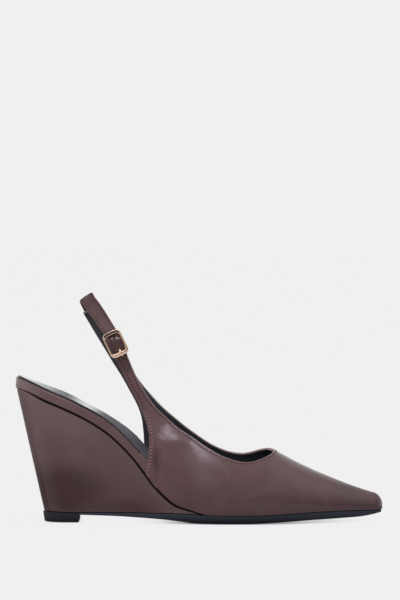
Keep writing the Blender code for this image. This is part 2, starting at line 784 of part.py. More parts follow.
def build_buckle_prong(material):
    """Tip of the prong, out of the tail's hole and over the lower bar."""
    width, down, outward = buckle_axes()
    origin = buckle_origin()
    over_bar = BUCKLE_THICKNESS + BUCKLE_EDGE_ROUND + PRONG_RADIUS + SEAT_GAP
    Stop = namedtuple("Stop", "down out size")
    route = [
        Stop(PRONG_ROOT_DOWN, over_bar - 1.1, 1.0),
        Stop(PRONG_ROOT_DOWN + 0.8, over_bar - 0.25, 1.0),
        Stop(PRONG_ROOT_DOWN + 2.0, over_bar, 1.0),
        Stop(PRONG_TIP_DOWN - 1.2, over_bar, 0.95),
        Stop(PRONG_TIP_DOWN, over_bar - 0.1, 0.6),
    ]
    data = bpy.data.curves.new("prong_route", "CURVE")
    data.dimensions = "3D"
    data.bevel_depth = PRONG_RADIUS * MM
    data.bevel_resolution = 2
    data.use_fill_caps = True
    spline = data.splines.new("POLY")
    spline.points.add(len(route) - 1)
    for point, stop in zip(spline.points, route):
        place = (origin + down * stop.down + outward * stop.out) * MM
        point.co = (*place, 1.0)
        point.radius = stop.size
    curve = bpy.data.objects.new("prong_route", data)
    bpy.data.collections[COLLECTION_NAME].objects.link(curve)
    bpy.context.view_layer.update()
    return add_object("buckle_prong", curve_to_mesh(curve, "buckle_prong"), material)


def centre_on_origin(pieces):
    """Carry every piece on one empty that puts the shoe's box bottom centre on the origin."""
    bpy.context.view_layer.update()
    graph = bpy.context.evaluated_depsgraph_get()
    corners = []
    for piece in pieces:
        solid = piece.evaluated_get(graph)
        corners += [solid.matrix_world @ Vector(corner) for corner in solid.bound_box]
    low = Vector([min(corner[axis] for corner in corners) for axis in range(3)])
    high = Vector([max(corner[axis] for corner in corners) for axis in range(3)])
    carrier = bpy.data.objects.new("shoe_origin", None)
    bpy.data.collections[COLLECTION_NAME].objects.link(carrier)
    for piece in pieces:
        piece.parent = carrier
    carrier.location = (-0.5 * (low.x + high.x), -0.5 * (low.y + high.y), -low.z)
    bpy.context.view_layer.update()


def main():
    clear_scene()
    collection = bpy.data.collections.new(COLLECTION_NAME)
    bpy.context.scene.collection.children.link(collection)
    brown_leather = make_material("brown_leather", (0.105, 0.068, 0.070), 0.38)
    brown_strap = make_material("brown_strap", (0.115, 0.076, 0.078), 0.45)
    wedge_leather = make_material("wedge_leather", (0.098, 0.064, 0.067), 0.42)
    band_leather = make_material("band_leather", (0.104, 0.070, 0.074), 0.45)
    grey_sock = make_material("grey_sock", (0.09, 0.09, 0.105), 0.55)
    black_rubber = make_material("black_rubber", (0.02, 0.02, 0.024), 0.6)
    black_tip = make_material("black_tip", (0.016, 0.017, 0.02), 0.5)
    rose_gold = make_material("rose_gold", (0.85, 0.60, 0.44), 0.16, 1.0)
    pieces = [
        build_outsole(black_rubber),
        build_top_piece(black_tip),
        build_wedge(wedge_leather),
        build_footbed(band_leather),
        build_sock(grey_sock),
        build_upper(brown_leather),
        build_sling_strap(brown_strap),
        build_buckle_frame(rose_gold),
        build_buckle_prong(rose_gold),
    ]
    centre_on_origin(pieces)


main()
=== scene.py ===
"""Looks of the wedge slingback pump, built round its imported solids.

The tables and sizes are in millimetres, with X from the back of the heel to the toe, the lateral side at
-Y and Z up from the floor. ORIGIN carries them into the frame, which is in metres.
"""
import math
from collections import namedtuple

import bmesh
import bpy
import numpy as np
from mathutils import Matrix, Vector, noise
from mathutils.bvhtree import BVHTree


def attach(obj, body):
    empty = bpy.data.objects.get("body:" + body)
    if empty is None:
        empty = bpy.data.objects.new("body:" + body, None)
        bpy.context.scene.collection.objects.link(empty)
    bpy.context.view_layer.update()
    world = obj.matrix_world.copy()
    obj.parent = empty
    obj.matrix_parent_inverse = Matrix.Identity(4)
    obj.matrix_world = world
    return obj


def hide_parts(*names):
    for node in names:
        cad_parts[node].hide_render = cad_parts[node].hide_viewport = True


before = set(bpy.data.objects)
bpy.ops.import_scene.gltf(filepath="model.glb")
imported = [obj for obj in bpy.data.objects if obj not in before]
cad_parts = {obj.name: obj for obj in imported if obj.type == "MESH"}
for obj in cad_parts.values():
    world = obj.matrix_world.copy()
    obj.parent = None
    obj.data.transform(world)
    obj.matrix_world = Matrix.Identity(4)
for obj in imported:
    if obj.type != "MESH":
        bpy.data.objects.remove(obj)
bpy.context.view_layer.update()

MM = 0.001
ORIGIN = Vector((-122.5, 0.46, 0.0))
LATERAL = -1
MEDIAL = 1
SIDES = {LATERAL: "lateral", MEDIAL: "medial"}
BODY = "root"


def table(columns, *rows):
    """List of rows with named columns."""
    row_type = namedtuple("Row", columns)
    return [row_type(*row) for row in rows]


# Shoe sizes
SHOE_LENGTH = 245.0
TOE_ROUND = 7.0
TOE_TOP_ROUND = 5.0
TOE_TIP_HEIGHT = 11.0
TOE_WELD = 0.01
HEEL_ROUND = 24.0
HEEL_LEAN = 0.3
BAND_SWELL = 0.55
WEDGE_SWELL = 0.4
TIP_LIP = 1.1
TIP_LIP_HEIGHT = 7.0
TIP_LIP_REACH = (40.0, 28.0)
SEAT_GAP = 0.3
UPPER_WALL = 1.8
UPPER_ROLL = 0.5
ROLL_STEPS = 6

# Sole edge seen from above: half widths at each station
SOLE_EDGE = table(
    "x lateral medial",
    (0, 24.0, 23.4), (24, 26.2, 25.2), (40, 27.2, 25.4), (55, 27.0, 24.0), (70, 26.4, 22.2),
    (85, 26.6, 21.2), (100, 28.5, 22.6), (115, 31.8, 26.0), (130, 35.2, 30.2), (145, 36.8, 34.0),
    (158, 36.6, 35.6), (173, 33.8, 34.4), (190, 28.6, 29.6), (206, 22.6, 23.8), (220, 16.6, 17.8),
    (232, 11.4, 12.2), (240, 8.0, 8.4), (245, 6.0, 6.2),
)

# Last above the sole edge: widest half widths, and the ridge of the instep and toe
LAST = table(
    "x lateral medial ridge_y ridge_z",
    (85, 28.0, 25.5, 4.0, 106.0), (100, 30.5, 27.0, 4.0, 95.0), (115, 33.5, 30.0, 4.0, 83.0),
    (130, 37.4, 34.0, 3.8, 72.0), (145, 39.2, 37.2, 3.5, 63.0), (158, 39.0, 38.2, 3.2, 55.5),
    (173, 36.0, 36.6, 2.8, 47.3), (190, 30.4, 31.4, 2.2, 38.1), (206, 23.6, 24.8, 1.6, 31.0),
    (220, 17.4, 18.6, 1.0, 25.4), (232, 12.0, 12.8, 0.5, 21.2), (240, 8.4, 8.8, 0.2, 18.6),
    (245, 6.3, 6.5, 0.0, 17.0),
)
WIDEST_SHARE = 0.35
ARCH_POWER = 2.3

# Seam line on which the upper stands
SEAM = table(
    "x z",
    (0, 89.2), (8, 87.2), (20.5, 81.1), (29, 77.5), (46.6, 69.2), (61, 60.0), (72, 50.1), (79.2, 42.2),
    (86, 33.2), (92, 25.0), (100.4, 16.4), (107, 11.6), (114.5, 9.0), (120, 7.3), (126, 6.2), (140, 5.9),
    (158, 5.9), (176, 6.4), (190, 7.0), (216, 7.9), (245, 7.8),
)

# Wing ribs, from the strap down towards the seam: rear edge, then front edge
WINGS = {
    LATERAL: table(
        "rear_x rear_z front_x front_z",
        (51.4, 137.2, 58.0, 141.6), (58.0, 127.2, 64.6, 131.4), (60.3, 122.4, 69.0, 126.5),
        (62.4, 117.8, 72.2, 122.2), (66.7, 109.5, 74.3, 113.0), (70.6, 101.2, 77.3, 105.1),
        (74.6, 93.0, 81.2, 96.4), (79.2, 84.6, 86.4, 87.0), (84.0, 74.6, 93.8, 76.8),
        (87.4, 65.6, 101.6, 69.6), (89.2, 56.4, 108.8, 63.2), (88.6, 47.4, 115.0, 59.3),
        (87.4, 39.6, 120.5, 55.7),
    ),
    MEDIAL: table(
        "rear_x rear_z front_x front_z",
        (44.2, 138.8, 51.7, 143.6), (51.7, 126.0, 59.3, 130.7), (58.7, 114.4, 66.4, 119.0),
        (64.5, 104.7, 72.4, 109.0), (69.6, 96.6, 77.2, 100.4), (74.1, 88.6, 82.9, 91.9),
        (80.0, 77.6, 91.0, 82.4), (83.3, 68.8, 98.4, 74.8), (84.5, 60.5, 106.0, 68.2),
        (84.9, 52.0, 113.0, 62.4), (85.6, 42.0, 119.5, 57.6),
    ),
}

# Quarter ribs, from the rear corner on the seam to the throat: foot on the seam, then topline
QUARTERS = {
    LATERAL: table(
        "foot_x front_x front_z",
        (85.2, 125.5, 52.2), (92.0, 130.5, 49.1), (99.0, 135.5, 46.3), (107.0, 141.0, 43.9),
        (116.0, 147.0, 42.0), (127.0, 153.0, 41.0), (138.0, 159.0, 41.5), (148.0, 164.6, 43.2),
        (157.0, 168.9, 44.8), (164.5, 171.7, 46.3),
    ),
    MEDIAL: table(
        "foot_x front_x front_z",
        (85.2, 125.5, 53.3), (92.0, 131.0, 49.9), (99.0, 136.5, 47.2), (107.0, 142.2, 45.2),
        (116.0, 147.6, 44.2), (127.0, 153.2, 44.0), (138.0, 159.0, 45.4), (148.0, 164.2, 47.1),
        (157.0, 168.6, 48.1), (164.5, 171.5, 47.9),
    ),
}
THROAT_X = 173.0
THROAT_FOOT_X = 170.0
THROAT_NEAR_X = 164.0
THROAT_DEEP = 12.0
NORMAL_STEP = 0.02
RIB_STEPS = 8
RIB_COLUMNS = 40
RIB_SAMPLES = 120
VAMP_RIBS = 80
CLOSE_UP_POWER = 1.8
FOOT_TRIM = 0.2
FOOT_TRIM_MOST = 0.2
WEDGE_TRIM = 0.95
WEDGE_TRIM_END = (130.0, 120.0)

# Strap loop: its end behind the heel, the way it runs in side view, and its plan
LOOP_END = Vector((49.0, 0.0, 148.8))
STRAP_ALONG = Vector((0.555, 0.0, -0.832))
STRAP_ACROSS = Vector((0.832, 0.0, 0.555))
LOOP_DEPTH = 16.0
LOOP_HALF_WIDTH = 19.0
LOOP_SPREAD = 0.08
LOOP_REACH = 0.5
MEDIAL_DROP = -5.0
WING_FREE = 60.0
WING_ON_LAST = 105.0
STRAP_BUCKLE_END = 28.0
STRAP_JOINT_END = 22.0
STRAP_WIDTH = 10.0
STRAP_THICKNESS = 2.0
STRAP_ROLL = 0.6
STRAP_CROWN = 0.35
STRAP_TAPER = 0.9
HEEL_TAPER = 1.1
HEEL_TAPER_SHARE = (0.28, 0.50)
HEEL_FULL = 1.1
HEEL_FULL_SHARE = (0.35, 0.48)
STRAP_LEG_STEPS = 16
STRAP_TURN_STEPS = 64
STRAP_COLUMNS = 20

# Buckle: outer size, opening, bar sizes, and the groove in its upper bar, its faces painted dark as shade
BUCKLE_CENTRE = (66.95, 119.0)
BUCKLE_DOWN = (0.43, -0.903)
BUCKLE_WIDTH = 12.8
BUCKLE_LENGTH = 17.4
BUCKLE_OPENING_WIDTH = 10.2
BUCKLE_OPENING_LENGTH = 12.0
BUCKLE_CORNER = 3.2
BUCKLE_OPENING_CORNER = 1.8
BUCKLE_THICKNESS = 1.7
BUCKLE_BOW = 0.7
BUCKLE_OUTER_BOW = 0.35
BUCKLE_TILT = 0.08
BUCKLE_CLEAR = 1.65
BUCKLE_ARC_STEPS = 8
BUCKLE_BAR_STEPS = 10
BUCKLE_SECTION = 20
BUCKLE_FLAT_POWERS = (0.8, 0.7)
BUCKLE_GROOVE = 0.7
BUCKLE_GROOVE_WIDTH = 0.45
BUCKLE_GROOVE_UP = (5.2, 6.4)
BUCKLE_GROOVE_ENDS = (5.6, 4.6)
BUCKLE_GROOVE_STEPS = (3, 4, 5, 6)

# Prong: its route down from the buckle's centre and out from its back face
PRONG_ACROSS = 0.8
PRONG_RADIUS = 0.75
PRONG_STEPS = 4
PRONG_SIDES = 14
PRONG_ROUTE = table(
    "down out size",
    (3.9, -0.6, 0.9), (4.2, 0.9, 1.0), (4.9, 2.1, 1.1), (5.9, 2.75, 1.15),
    (7.0, 2.75, 1.05), (8.2, 2.5, 1.0), (8.9, 2.1, 0.85), (9.2, 1.8, 0.45),
)

# Tail in the buckle: its swell, and the holes down from the buckle's centre
TAIL_SWELL = table(
    "down out",
    (-11.0, -0.2), (-8.6, -0.3), (-7.4, -0.02), (-3.8, 1.34), (-2.5, 1.62),
    (-1.0, 1.7), (3.0, 1.15), (7.0, 0.55), (12.0, 0.0),
)
TAIL_DOWN = (0.12, -0.993)
TAIL_HOLES = table("down across", (-3.9, 0.8), (3.9, 0.7), (11.5, 0.3), (19.2, -0.2))
HOLE_RADIUS = 0.8
HOLE_LIP = 0.1
HOLE_STAND = 0.06
HOLE_SIDES = 20
HOLE_LIP_SIDES = 8

# Sewing
EDGE_ROW = 1.7
REAR_ROW = 2.2
STRAP_ROW = 1.5
Stitch = namedtuple("Stitch", "pitch length width hole")
STITCHES = {"thread": Stitch(2.2, 1.25, 0.78, 0.2), "pale_thread": Stitch(2.3, 1.2, 0.85, 0.58)}
STITCH_HEIGHT = 0.34
STITCH_SINK = 0.75
STITCH_HALF_THICK = 0.22
STITCH_END = 0.06
STITCH_FULL_POWER = 0.6
STITCH_STATIONS = 7
STITCH_SIDES = 8
NEEDLE_RIM = -0.05
NEEDLE_MIDDLE = 0.06
WAY_REACH = 0.4
PAINTED_LIT_FROM_RIB = 8
REAR_ROW_CUT = 6
ROW_RUN_ON = 9.0
ROW_WAY_POINTS = 6
GROOVE_DEPTH = 0.16
GROOVE_REACH = 0.55

# Creases of the upper in side view: middle, direction in degrees, half length, half width and depth
CREASES = table(
    "side x z turn length width depth",
    (LATERAL, 94.0, 44.0, 96.0, 15.0, 1.9, 0.55),
    (LATERAL, 106.4, 55.0, 37.0, 9.0, 8.0, -0.8),
    (LATERAL, 150.0, 19.5, 2.0, 11.0, 2.4, 0.22),
    (MEDIAL, 93.0, 46.0, 96.0, 14.0, 1.8, 0.30),
    (MEDIAL, 146.0, 21.0, 4.0, 12.0, 2.4, 0.22),
    (MEDIAL, 116.0, 48.0, -36.0, 9.0, 2.4, 0.18),
)
CREASE_ENDS = 2.0
CREASE_SIDES = 4.0
CREASE_FLANK = 0.9
CREASE_FADE = 1.5
UNEVEN_DEPTH = 0.10
UNEVEN_SIZE = 9.0
UNEVEN_FINE_SIZE = 0.4 * UNEVEN_SIZE
UNEVEN_FINE_SHARE = 0.5

# Rear corner of each quarter, laid over the band: how far it stands off, and where that fades out
CORNER_LIFT = 0.6
CORNER_REACH = (97.0, 89.0)
CORNER_TOP = (58.0, 46.0)

# Cords: along the seam as painted shade, along the top edge of the band as piping, and along the sock's
# medial edge as a painted dark reflection
Cord = namedtuple("Cord", "inset radius start least")
SEAM_SHADE_CORD = table(
    "x inset radius",
    (0.0, 2.6, 0.95), (8.0, 1.2, 0.95), (20.0, 0.72, 1.0),
    (84.0, 0.72, 1.0), (98.0, 1.25, 0.95), (124.0, 1.25, 0.95),
)
SEAM_SHADE_END = 124.0
BAND_PIPING = Cord(0.6, 0.42, (38.0, 66.0), 0.4)
# A dark cord along the sock's medial edge, in the lining's colour: a painted dark reflection of the medial
# lining
SOCK_DARK_REFLECTION = Cord(1.3, 0.55, (52.0, 64.0), 0.3)
SOCK_REFLECTION_RAISE = 0.65
CORD_STEPS = 150
CORD_SIDES = 10

# Band: its end, and the tongues that run on from it under the upper
BAND_END = 85.4
TONGUE_ENDS = (83.5, 94.0)
TONGUE_WALL = 3.0
TONGUE_ROLL = 0.4
TONGUE_INSET = 0.06
TONGUE_PROBE = 7.0
TONGUE_ABOVE_SEAM = 1.0
TONGUE_BELOW_TOP = 0.4
TONGUE_STEPS = 14
TONGUE_SHARES = (0.0, 0.33, 0.67, 1.0)

# Smooth copies of nodes: weld distance, angles in degrees and steps of a rounded edge
COPY_WELD = 0.001
COPY_FACE_ANGLE = 40.0
COPY_SHAPE_ANGLE = 85.0
COPY_EDGE_ANGLE = 38.0
COPY_EDGE_STEPS = 3

# Starts of rays towards the shoe, from above and from the lateral side
RAY_ABOVE = 300.0
RAY_BESIDE = -90.0
RAY_DOWN = Vector((0.0, 0.0, -1.0))
RAY_INWARD = Vector((0.0, 1.0, 0.0))

# Leather: tones, patches of colour (mostly painted shade) and of roughness in side view, and gloss
Tone = namedtuple("Tone", "low mid high")
# Tones run from low to high over a random cloud blended with painted light and shade by height
UPPER_TONE = Tone((0.078, 0.040, 0.044), (0.115, 0.058, 0.062), (0.138, 0.072, 0.078))
STRAP_TONE = Tone((0.066, 0.032, 0.030), (0.108, 0.060, 0.059), (0.165, 0.102, 0.103))
WEDGE_TONE = Tone((0.090, 0.047, 0.050), (0.108, 0.058, 0.062), (0.150, 0.086, 0.093))
BAND_TONE = Tone((0.113, 0.060, 0.064), (0.137, 0.074, 0.080), (0.158, 0.088, 0.095))
Patch = namedtuple("Patch", "x z wide high strength colour")
UPPER_GLOSS = [
    Patch(149.0, 32.0, 36.0, 21.0, 1.0, (0.8, 0.8, 0.8)),
    Patch(66.0, 123.8, 10.0, 7.0, 1.0, (0.07, 0.07, 0.07)),
]
# Darker patches on the upper: a darker patch round the buckle's lower bar, and painted shade in the rear
# crease
UPPER_DARK_PATCHES = [
    Patch(71.0, 113.0, 15.0, 20.0, 0.75, (0.058, 0.026, 0.024)),
    Patch(94.5, 42.0, 4.0, 13.0, 0.5, (0.060, 0.022, 0.021)),
]
# Painted shade on the wedge: a painted dark reflection low on its rear half, and painted shade near the
# floor at its front
WEDGE_PAINTED_SHADE = [
    Patch(31.0, 20.0, 40.0, 26.0, 0.95, (0.046, 0.014, 0.013)),
    Patch(72.0, 6.0, 32.0, 13.0, 0.70, (0.046, 0.014, 0.013)),
]
PATCH_FULL = 0.7
Shine = namedtuple("Shine", "specular coat")
POLISHED = Shine(0.45, 0.12)
DULL = Shine(0.25, 0.0)
COAT_ROUGHNESS = 0.15
TONE_STOPS = (0.25, 0.5, 0.75)

# Noises: scale, detail and roughness; bumps: strength and distance
LEATHER_CLOUD = (55.0, 5.0, 0.6)
LEATHER_RUB = (140.0, 4.0, 0.65)
LEATHER_SOFT = (170.0, 2.0)
LEATHER_FIBRE = (900.0, 3.0)
LEATHER_PORES = 1500.0
SOFT_BUMP = (0.30, 0.30)
FIBRE_BUMP = (0.16, 0.08)
PORE_BUMP = (0.14, 0.06)
GRAIN_DETAIL = (6.0, 0.6)
GRAIN_STOPS = (0.3, 0.7)
GRAIN_CLOUD = 0.08
GRAIN_CLOUD_DETAIL = 3.0
GRAIN_GLOSS = 0.06
NOISE_RANGE = (0.25, 0.75)

# Materials of one grain
PLAIN_SPECULAR = 0.5
GRAINS = table(
    "name dark light roughness scale strength distance specular",
    ("edge_paint", (0.12, 0.066, 0.064), (0.18, 0.106, 0.101), 0.7, 900.0, 0.2, 0.08, 0.2),
    # The upper's rim colour is lighter and greyer than the leather: partly edge paint, partly a painted
    # highlight on the rolled edge
    ("rim_paint", (0.27, 0.18, 0.178), (0.37, 0.26, 0.262), 0.45, 900.0, 0.2, 0.06, PLAIN_SPECULAR),
    ("lining", (0.021, 0.022, 0.029), (0.044, 0.049, 0.062), 0.5, 1800.0, 0.25, 0.06, PLAIN_SPECULAR),
    ("thread", (0.032, 0.010, 0.009), (0.066, 0.023, 0.022), 0.6, 2600.0, 0.3, 0.08, 0.15),
    # The pale thread is the same thread painted lighter: a painted highlight on the beads of the rear rows
    ("pale_thread", (0.27, 0.15, 0.145), (0.47, 0.31, 0.30), 0.5, 2600.0, 0.3, 0.08, PLAIN_SPECULAR),
    # Needle holes are dark domes: painted shade where the holes are
    ("needle_dark", (0.008, 0.003, 0.003), (0.014, 0.006, 0.006), 0.8, 1500.0, 0.1, 0.05, PLAIN_SPECULAR),
    # The seam colour is painted shade, for a dark tube laid in the seam
    ("seam_dark", (0.005, 0.002, 0.002), (0.009, 0.004, 0.004), 0.85, 1500.0, 0.2, 0.06, 0.12),
    ("piping", (0.058, 0.021, 0.020), (0.098, 0.040, 0.038), 0.5, 1500.0, 0.2, 0.06, PLAIN_SPECULAR),
    # The groove colour is painted shade in the buckle's groove
    ("groove_dark", (0.030, 0.024, 0.022), (0.060, 0.046, 0.042), 0.35, 1500.0, 0.1, 0.03, PLAIN_SPECULAR),
)

# Sock lining: tones, and its roughness along the shoe
SOCK_DARK = (0.066, 0.070, 0.083)
SOCK_LIGHT = (0.099, 0.104, 0.121)
SOCK_GLOSS = table(
    "x roughness",
    (8.0, 0.10), (22.0, 0.25), (34.0, 0.48), (41.0, 0.20), (47.0, 0.08),
    (53.0, 0.20), (59.0, 0.55), (66.0, 0.65),
)

SOCK_ROUGHNESS = 0.3
SOCK_GRAIN = 1300.0
SOCK_GRAIN_BUMP = (0.15, 0.05)
SOCK_WAVE = (45.0, 1.0)
SOCK_WAVE_BUMP = (0.5, 1.0)

# Rubber and gold
RUBBER_ROUGHNESS = 0.5
RUBBER_SPECULAR = 0.08
RUBBER_GRAIN = (1600.0, 5.0, 0.6)
RUBBER_BUMP = (0.2, 0.08)
RUBBER_CLOUD = (120.0, 3.0)
RUBBER_GLOSS = (0.42, 0.58)
RUBBER_STOPS = (0.1, 0.9)
# Share of the rubber's colour set by height: painted shade near the floor
RUBBER_SHADE_BY_HEIGHT = 0.75
GOLD_TONE = (0.93, 0.68, 0.52)
GOLD_DARK = (0.90, 0.60, 0.42)
GOLD_LIGHT = (0.98, 0.75, 0.58)
GOLD_ROUGHNESS = 0.12
GOLD_CLOUD = 300.0
GOLD_WIPE = (900.0, 4.0)
GOLD_WIPE_BUMP = (0.04, 0.03)
GOLD_GLOSS = (0.09, 0.17)

# Floor and backdrop
FLOOR_REACH = 60.0
FLOOR_LEVEL = -0.3
FLOOR_GLOW = 0.851
FLOOR_TONE = 0.02
FLOOR_CONTACT = [(0.0, (0.30, 0.31, 0.33)), (0.5, (0.86, 0.87, 0.88)), (0.9, (1.0, 1.0, 1.0))]
CONTACT_REACH = 4.0
CONTACT_SAMPLES = 12
BACKDROP = (240, 240, 240)

# Dome: its radiance by share of the way up, in front, then to the left and behind, each laid over the last
DOME_FRONT = [
    (0.0, 0.60), (0.27, 0.66), (0.345, 0.42), (0.40, 0.24), (0.50, 0.22),
    (0.57, 0.28), (0.67, 0.38), (0.81, 0.60), (0.905, 0.80), (1.0, 0.96),
]
DOME_SECTORS = table(
    "axis start full levels",
    ("X", -0.45, -0.85, [(0.0, 0.30), (0.35, 0.45), (0.45, 0.92), (0.60, 1.0), (1.0, 0.96)]),
    ("Y", 0.0, 0.45, [
        (0.0, 0.12), (0.42, 0.14), (0.455, 0.25), (0.49, 0.70), (0.58, 0.72),
        (0.70, 0.46), (0.85, 0.40), (0.95, 0.55), (1.0, 0.85),
    ]),
)
DOME_STRENGTH = 1.25

# Soft box in front, in metres and watts
SOFTBOX_PLACE = Vector((-0.221, -1.573, 1.314))
SOFTBOX_SIZE = (1.06, 0.46)
SOFTBOX_WATTS = 7.6
SOFTBOX_COLOUR = (0.93, 0.89, 1.0)
SOFTBOX_AIM = Vector((0.0, 0.0, 0.05))

# Camera: the photograph's size in pixels, its scale, and where it shows the aim point
IMAGE_SIZE = (400, 600)
PIXEL = 0.669 * MM
AIM = Vector((0.0, 0.0, 0.060))
AIM_PIXEL = (199.4, 431.0)
ELEVATION = math.radians(3.0)
DISTANCE = 2.6
CLIP_END = 100.0


def srgb(red, green, blue):
    """Linear colour from 0 to 255 display values."""
    shares = [value / 255.0 for value in (red, green, blue)]
    return [s / 12.92 if s <= 0.04045 else ((s + 0.055) / 1.055) ** 2.4 for s in shares]


def smooth_column(rows, name):
    """Return a monotone cubic curve through one column of a table, as a function of its first column."""
    xs = [row[0] for row in rows]
    ys = [getattr(row, name) for row in rows]
    widths = [b - a for a, b in zip(xs, xs[1:])]
    slopes = [(b - a) / w for a, b, w in zip(ys, ys[1:], widths)]
    tangents = [slopes[0]]
    for left, right in zip(slopes, slopes[1:]):
        same_way = left * right > 0.0
        tangents.append(2.0 * left * right / (left + right) if same_way else 0.0)
    tangents.append(slopes[-1])

    def value(x):
        if x <= xs[0]:
            return ys[0]
        if x >= xs[-1]:
            return ys[-1]
        index = max(i for i, start in enumerate(xs) if start <= x)
        width = widths[index]
        t = (x - xs[index]) / width
        level = (1.0 + 2.0 * t) * (1.0 - t) ** 2 * ys[index] + t * t * (3.0 - 2.0 * t) * ys[index + 1]
        lean = t * (1.0 - t) ** 2 * tangents[index] - t * t * (1.0 - t) * tangents[index + 1]
        return level + width * lean

    return value


def round_end(distance, radius):
    """Share of the full width at a distance from a rounded end."""
    if distance >= radius:
        return 1.0
    inside = 1.0 - max(distance, 0.0) / radius
    return math.sqrt(1.0 - inside * inside)


def ease(value):
    """Smooth step from 0 to 1."""
    value = min(max(value, 0.0), 1.0)
    return value * value * (3.0 - 2.0 * value)


def rise(value, start, full):
    """Smooth step from 0 at a start to 1 at a full value."""
    return ease((value - start) / (full - start))


def at_heel(x):
    """Share of a place at the back of the heel, from 0 in front of the round to 1 behind."""
    return ease(1.0 - x / HEEL_ROUND)


def neighbours(rows, index):
    """Four rows round a step: one before, the two at its ends and one after, held at both ends."""
    return [rows[min(max(index + k, 0), len(rows) - 1)] for k in (-1, 0, 1, 2)]


def catmull_rom(a, b, c, d, share):
    """Point on a smooth curve, at a share of the way between the middle two of four points."""
    curve = 2.0 * b + (c - a) * share + (2.0 * a - 5.0 * b + 4.0 * c - d) * share ** 2
    return 0.5 * (curve + (3.0 * b - a - 3.0 * c + d) * share ** 3)


def way_at(places, index):
    """Way that a line of places runs at one of them."""
    return places[min(index + 1, len(places) - 1)] - places[max(index - 1, 0)]


def reach_of(line):
    """Distance along a line of points to each of them."""
    return np.concatenate([[0.0], np.cumsum(np.linalg.norm(np.diff(line, axis=0), axis=1))])


def places_at(line, reach, at):
    """Places at distances along a line of points."""
    return np.stack([np.interp(at, reach, line[:, axis]) for axis in range(3)], axis=1)


def circle(sides):
    """Cosine and sine at each corner of a regular polygon."""
    angles = [2.0 * math.pi * side / sides for side in range(sides)]
    return [(math.cos(angle), math.sin(angle)) for angle in angles]


EDGE_HALF = {side: smooth_column(SOLE_EDGE, name) for side, name in SIDES.items()}
BODY_HALF = {side: smooth_column(LAST, name) for side, name in SIDES.items()}
ridge_offset = smooth_column(LAST, "ridge_y")
ridge_table = smooth_column(LAST, "ridge_z")
seam_height = smooth_column(SEAM, "z")
tail_swell = smooth_column(TAIL_SWELL, "out")


def sole_half(x, side):
    """Half width of the sole edge, rounded at heel and toe."""
    ends = round_end(x, HEEL_ROUND) * round_end(SHOE_LENGTH - x, TOE_ROUND)
    return EDGE_HALF[side](x) * ends


def seam_gap(x):
    """Upright distance that keeps half the seat gap square to the sloping seam."""
    slope = seam_height(x + 0.5) - seam_height(x - 0.5)
    return 0.5 * SEAT_GAP * math.hypot(1.0, slope)


def ridge_height(x):
    """Top line of the last, rounded down to the toe tip."""
    drop = round_end(SHOE_LENGTH - x, TOE_TOP_ROUND)
    return TOE_TIP_HEIGHT + (ridge_table(x) - TOE_TIP_HEIGHT) * drop


def leg_half(along):
    """Half width of the strap loop at a distance from its end."""
    if along < LOOP_DEPTH:
        return LOOP_HALF_WIDTH * round_end(along, LOOP_DEPTH)
    return LOOP_HALF_WIDTH + LOOP_SPREAD * (along - LOOP_DEPTH)


def last_y(x, z, side):
    """Side of the last at a station and height."""
    bottom = seam_height(x)
    share = min(max((z - bottom) / (ridge_height(x) - bottom), 0.0), 1.0)
    body = BODY_HALF[side](x) * round_end(SHOE_LENGTH - x, TOE_ROUND)
    flare = ease(share / WIDEST_SHARE)
    width = sole_half(x, side) * (1.0 - flare) + body * flare
    arch = math.sqrt(1.0 - share ** ARCH_POWER)
    return ridge_offset(x) * (1.0 - arch) + side * width * arch


def last_normal(x, z, side):
    """Way out of the last at a place in side view; on the ridge it lies in side view."""
    step = NORMAL_STEP
    if z > ridge_height(x) - step:
        slope = (ridge_height(x + step) - ridge_height(x - step)) / (2.0 * step)
        return Vector((-slope, 0.0, 1.0)).normalized()
    by_x = (last_y(x + step, z, side) - last_y(x - step, z, side)) / (2.0 * step)
    by_z = (last_y(x, z + step, side) - last_y(x, z - step, side)) / (2.0 * step)
    return side * Vector((-by_x, 1.0, -by_z)).normalized()


def upper_y(x, z, side):
    """Outside of the upper: on the last low down, on the strap's legs higher up."""
    along = (Vector((x, 0.0, z)) - LOOP_END).dot(STRAP_ALONG)
    on_leg = rise(along, WING_ON_LAST, WING_FREE)
    if on_leg == 0.0:
        return last_y(x, z, side)
    return last_y(x, z, side) * (1.0 - on_leg) + side * leg_half(along) * on_leg


def set_inputs(tree, node, inputs):
    """Set a node's inputs by name or number, each to a value or by a link."""
    for socket, value in inputs.items():
        if isinstance(value, bpy.types.NodeSocket):
            tree.links.new(value, node.inputs[socket])
        else:
            node.inputs[socket].default_value = value


def add_node(tree, kind, inputs, **settings):
    """Shader node with its own settings and its inputs."""
    node = tree.nodes.new("ShaderNode" + kind)
    for name, value in settings.items():
        setattr(node, name, value)
    set_inputs(tree, node, inputs)
    return node


def feed(tree, inputs):
    """Set or link inputs of a material's shader."""
    set_inputs(tree, tree.nodes["Principled BSDF"], inputs)


def coordinates(tree, kind="Object"):
    """Output of the tree's one node of coordinates."""
    node = tree.nodes.get("place") or add_node(tree, "TexCoord", {}, name="place")
    return node.outputs[kind]


def new_material(name, colour, roughness, specular=PLAIN_SPECULAR):
    """Principled material with plain values; returns it with its tree."""
    material = bpy.data.materials.new(name)
    material.use_nodes = True
    tree = material.node_tree
    feed(tree, {"Base Color": (*colour, 1.0), "Roughness": roughness, "Specular IOR Level": specular})
    return material, tree


def noise_value(tree, scale, detail=2.0, roughness=0.5):
    """Value of a noise on the piece's own coordinates."""
    inputs = {"Vector": coordinates(tree), "Scale": scale, "Detail": detail, "Roughness": roughness}
    return add_node(tree, "TexNoise", inputs).outputs["Fac"]


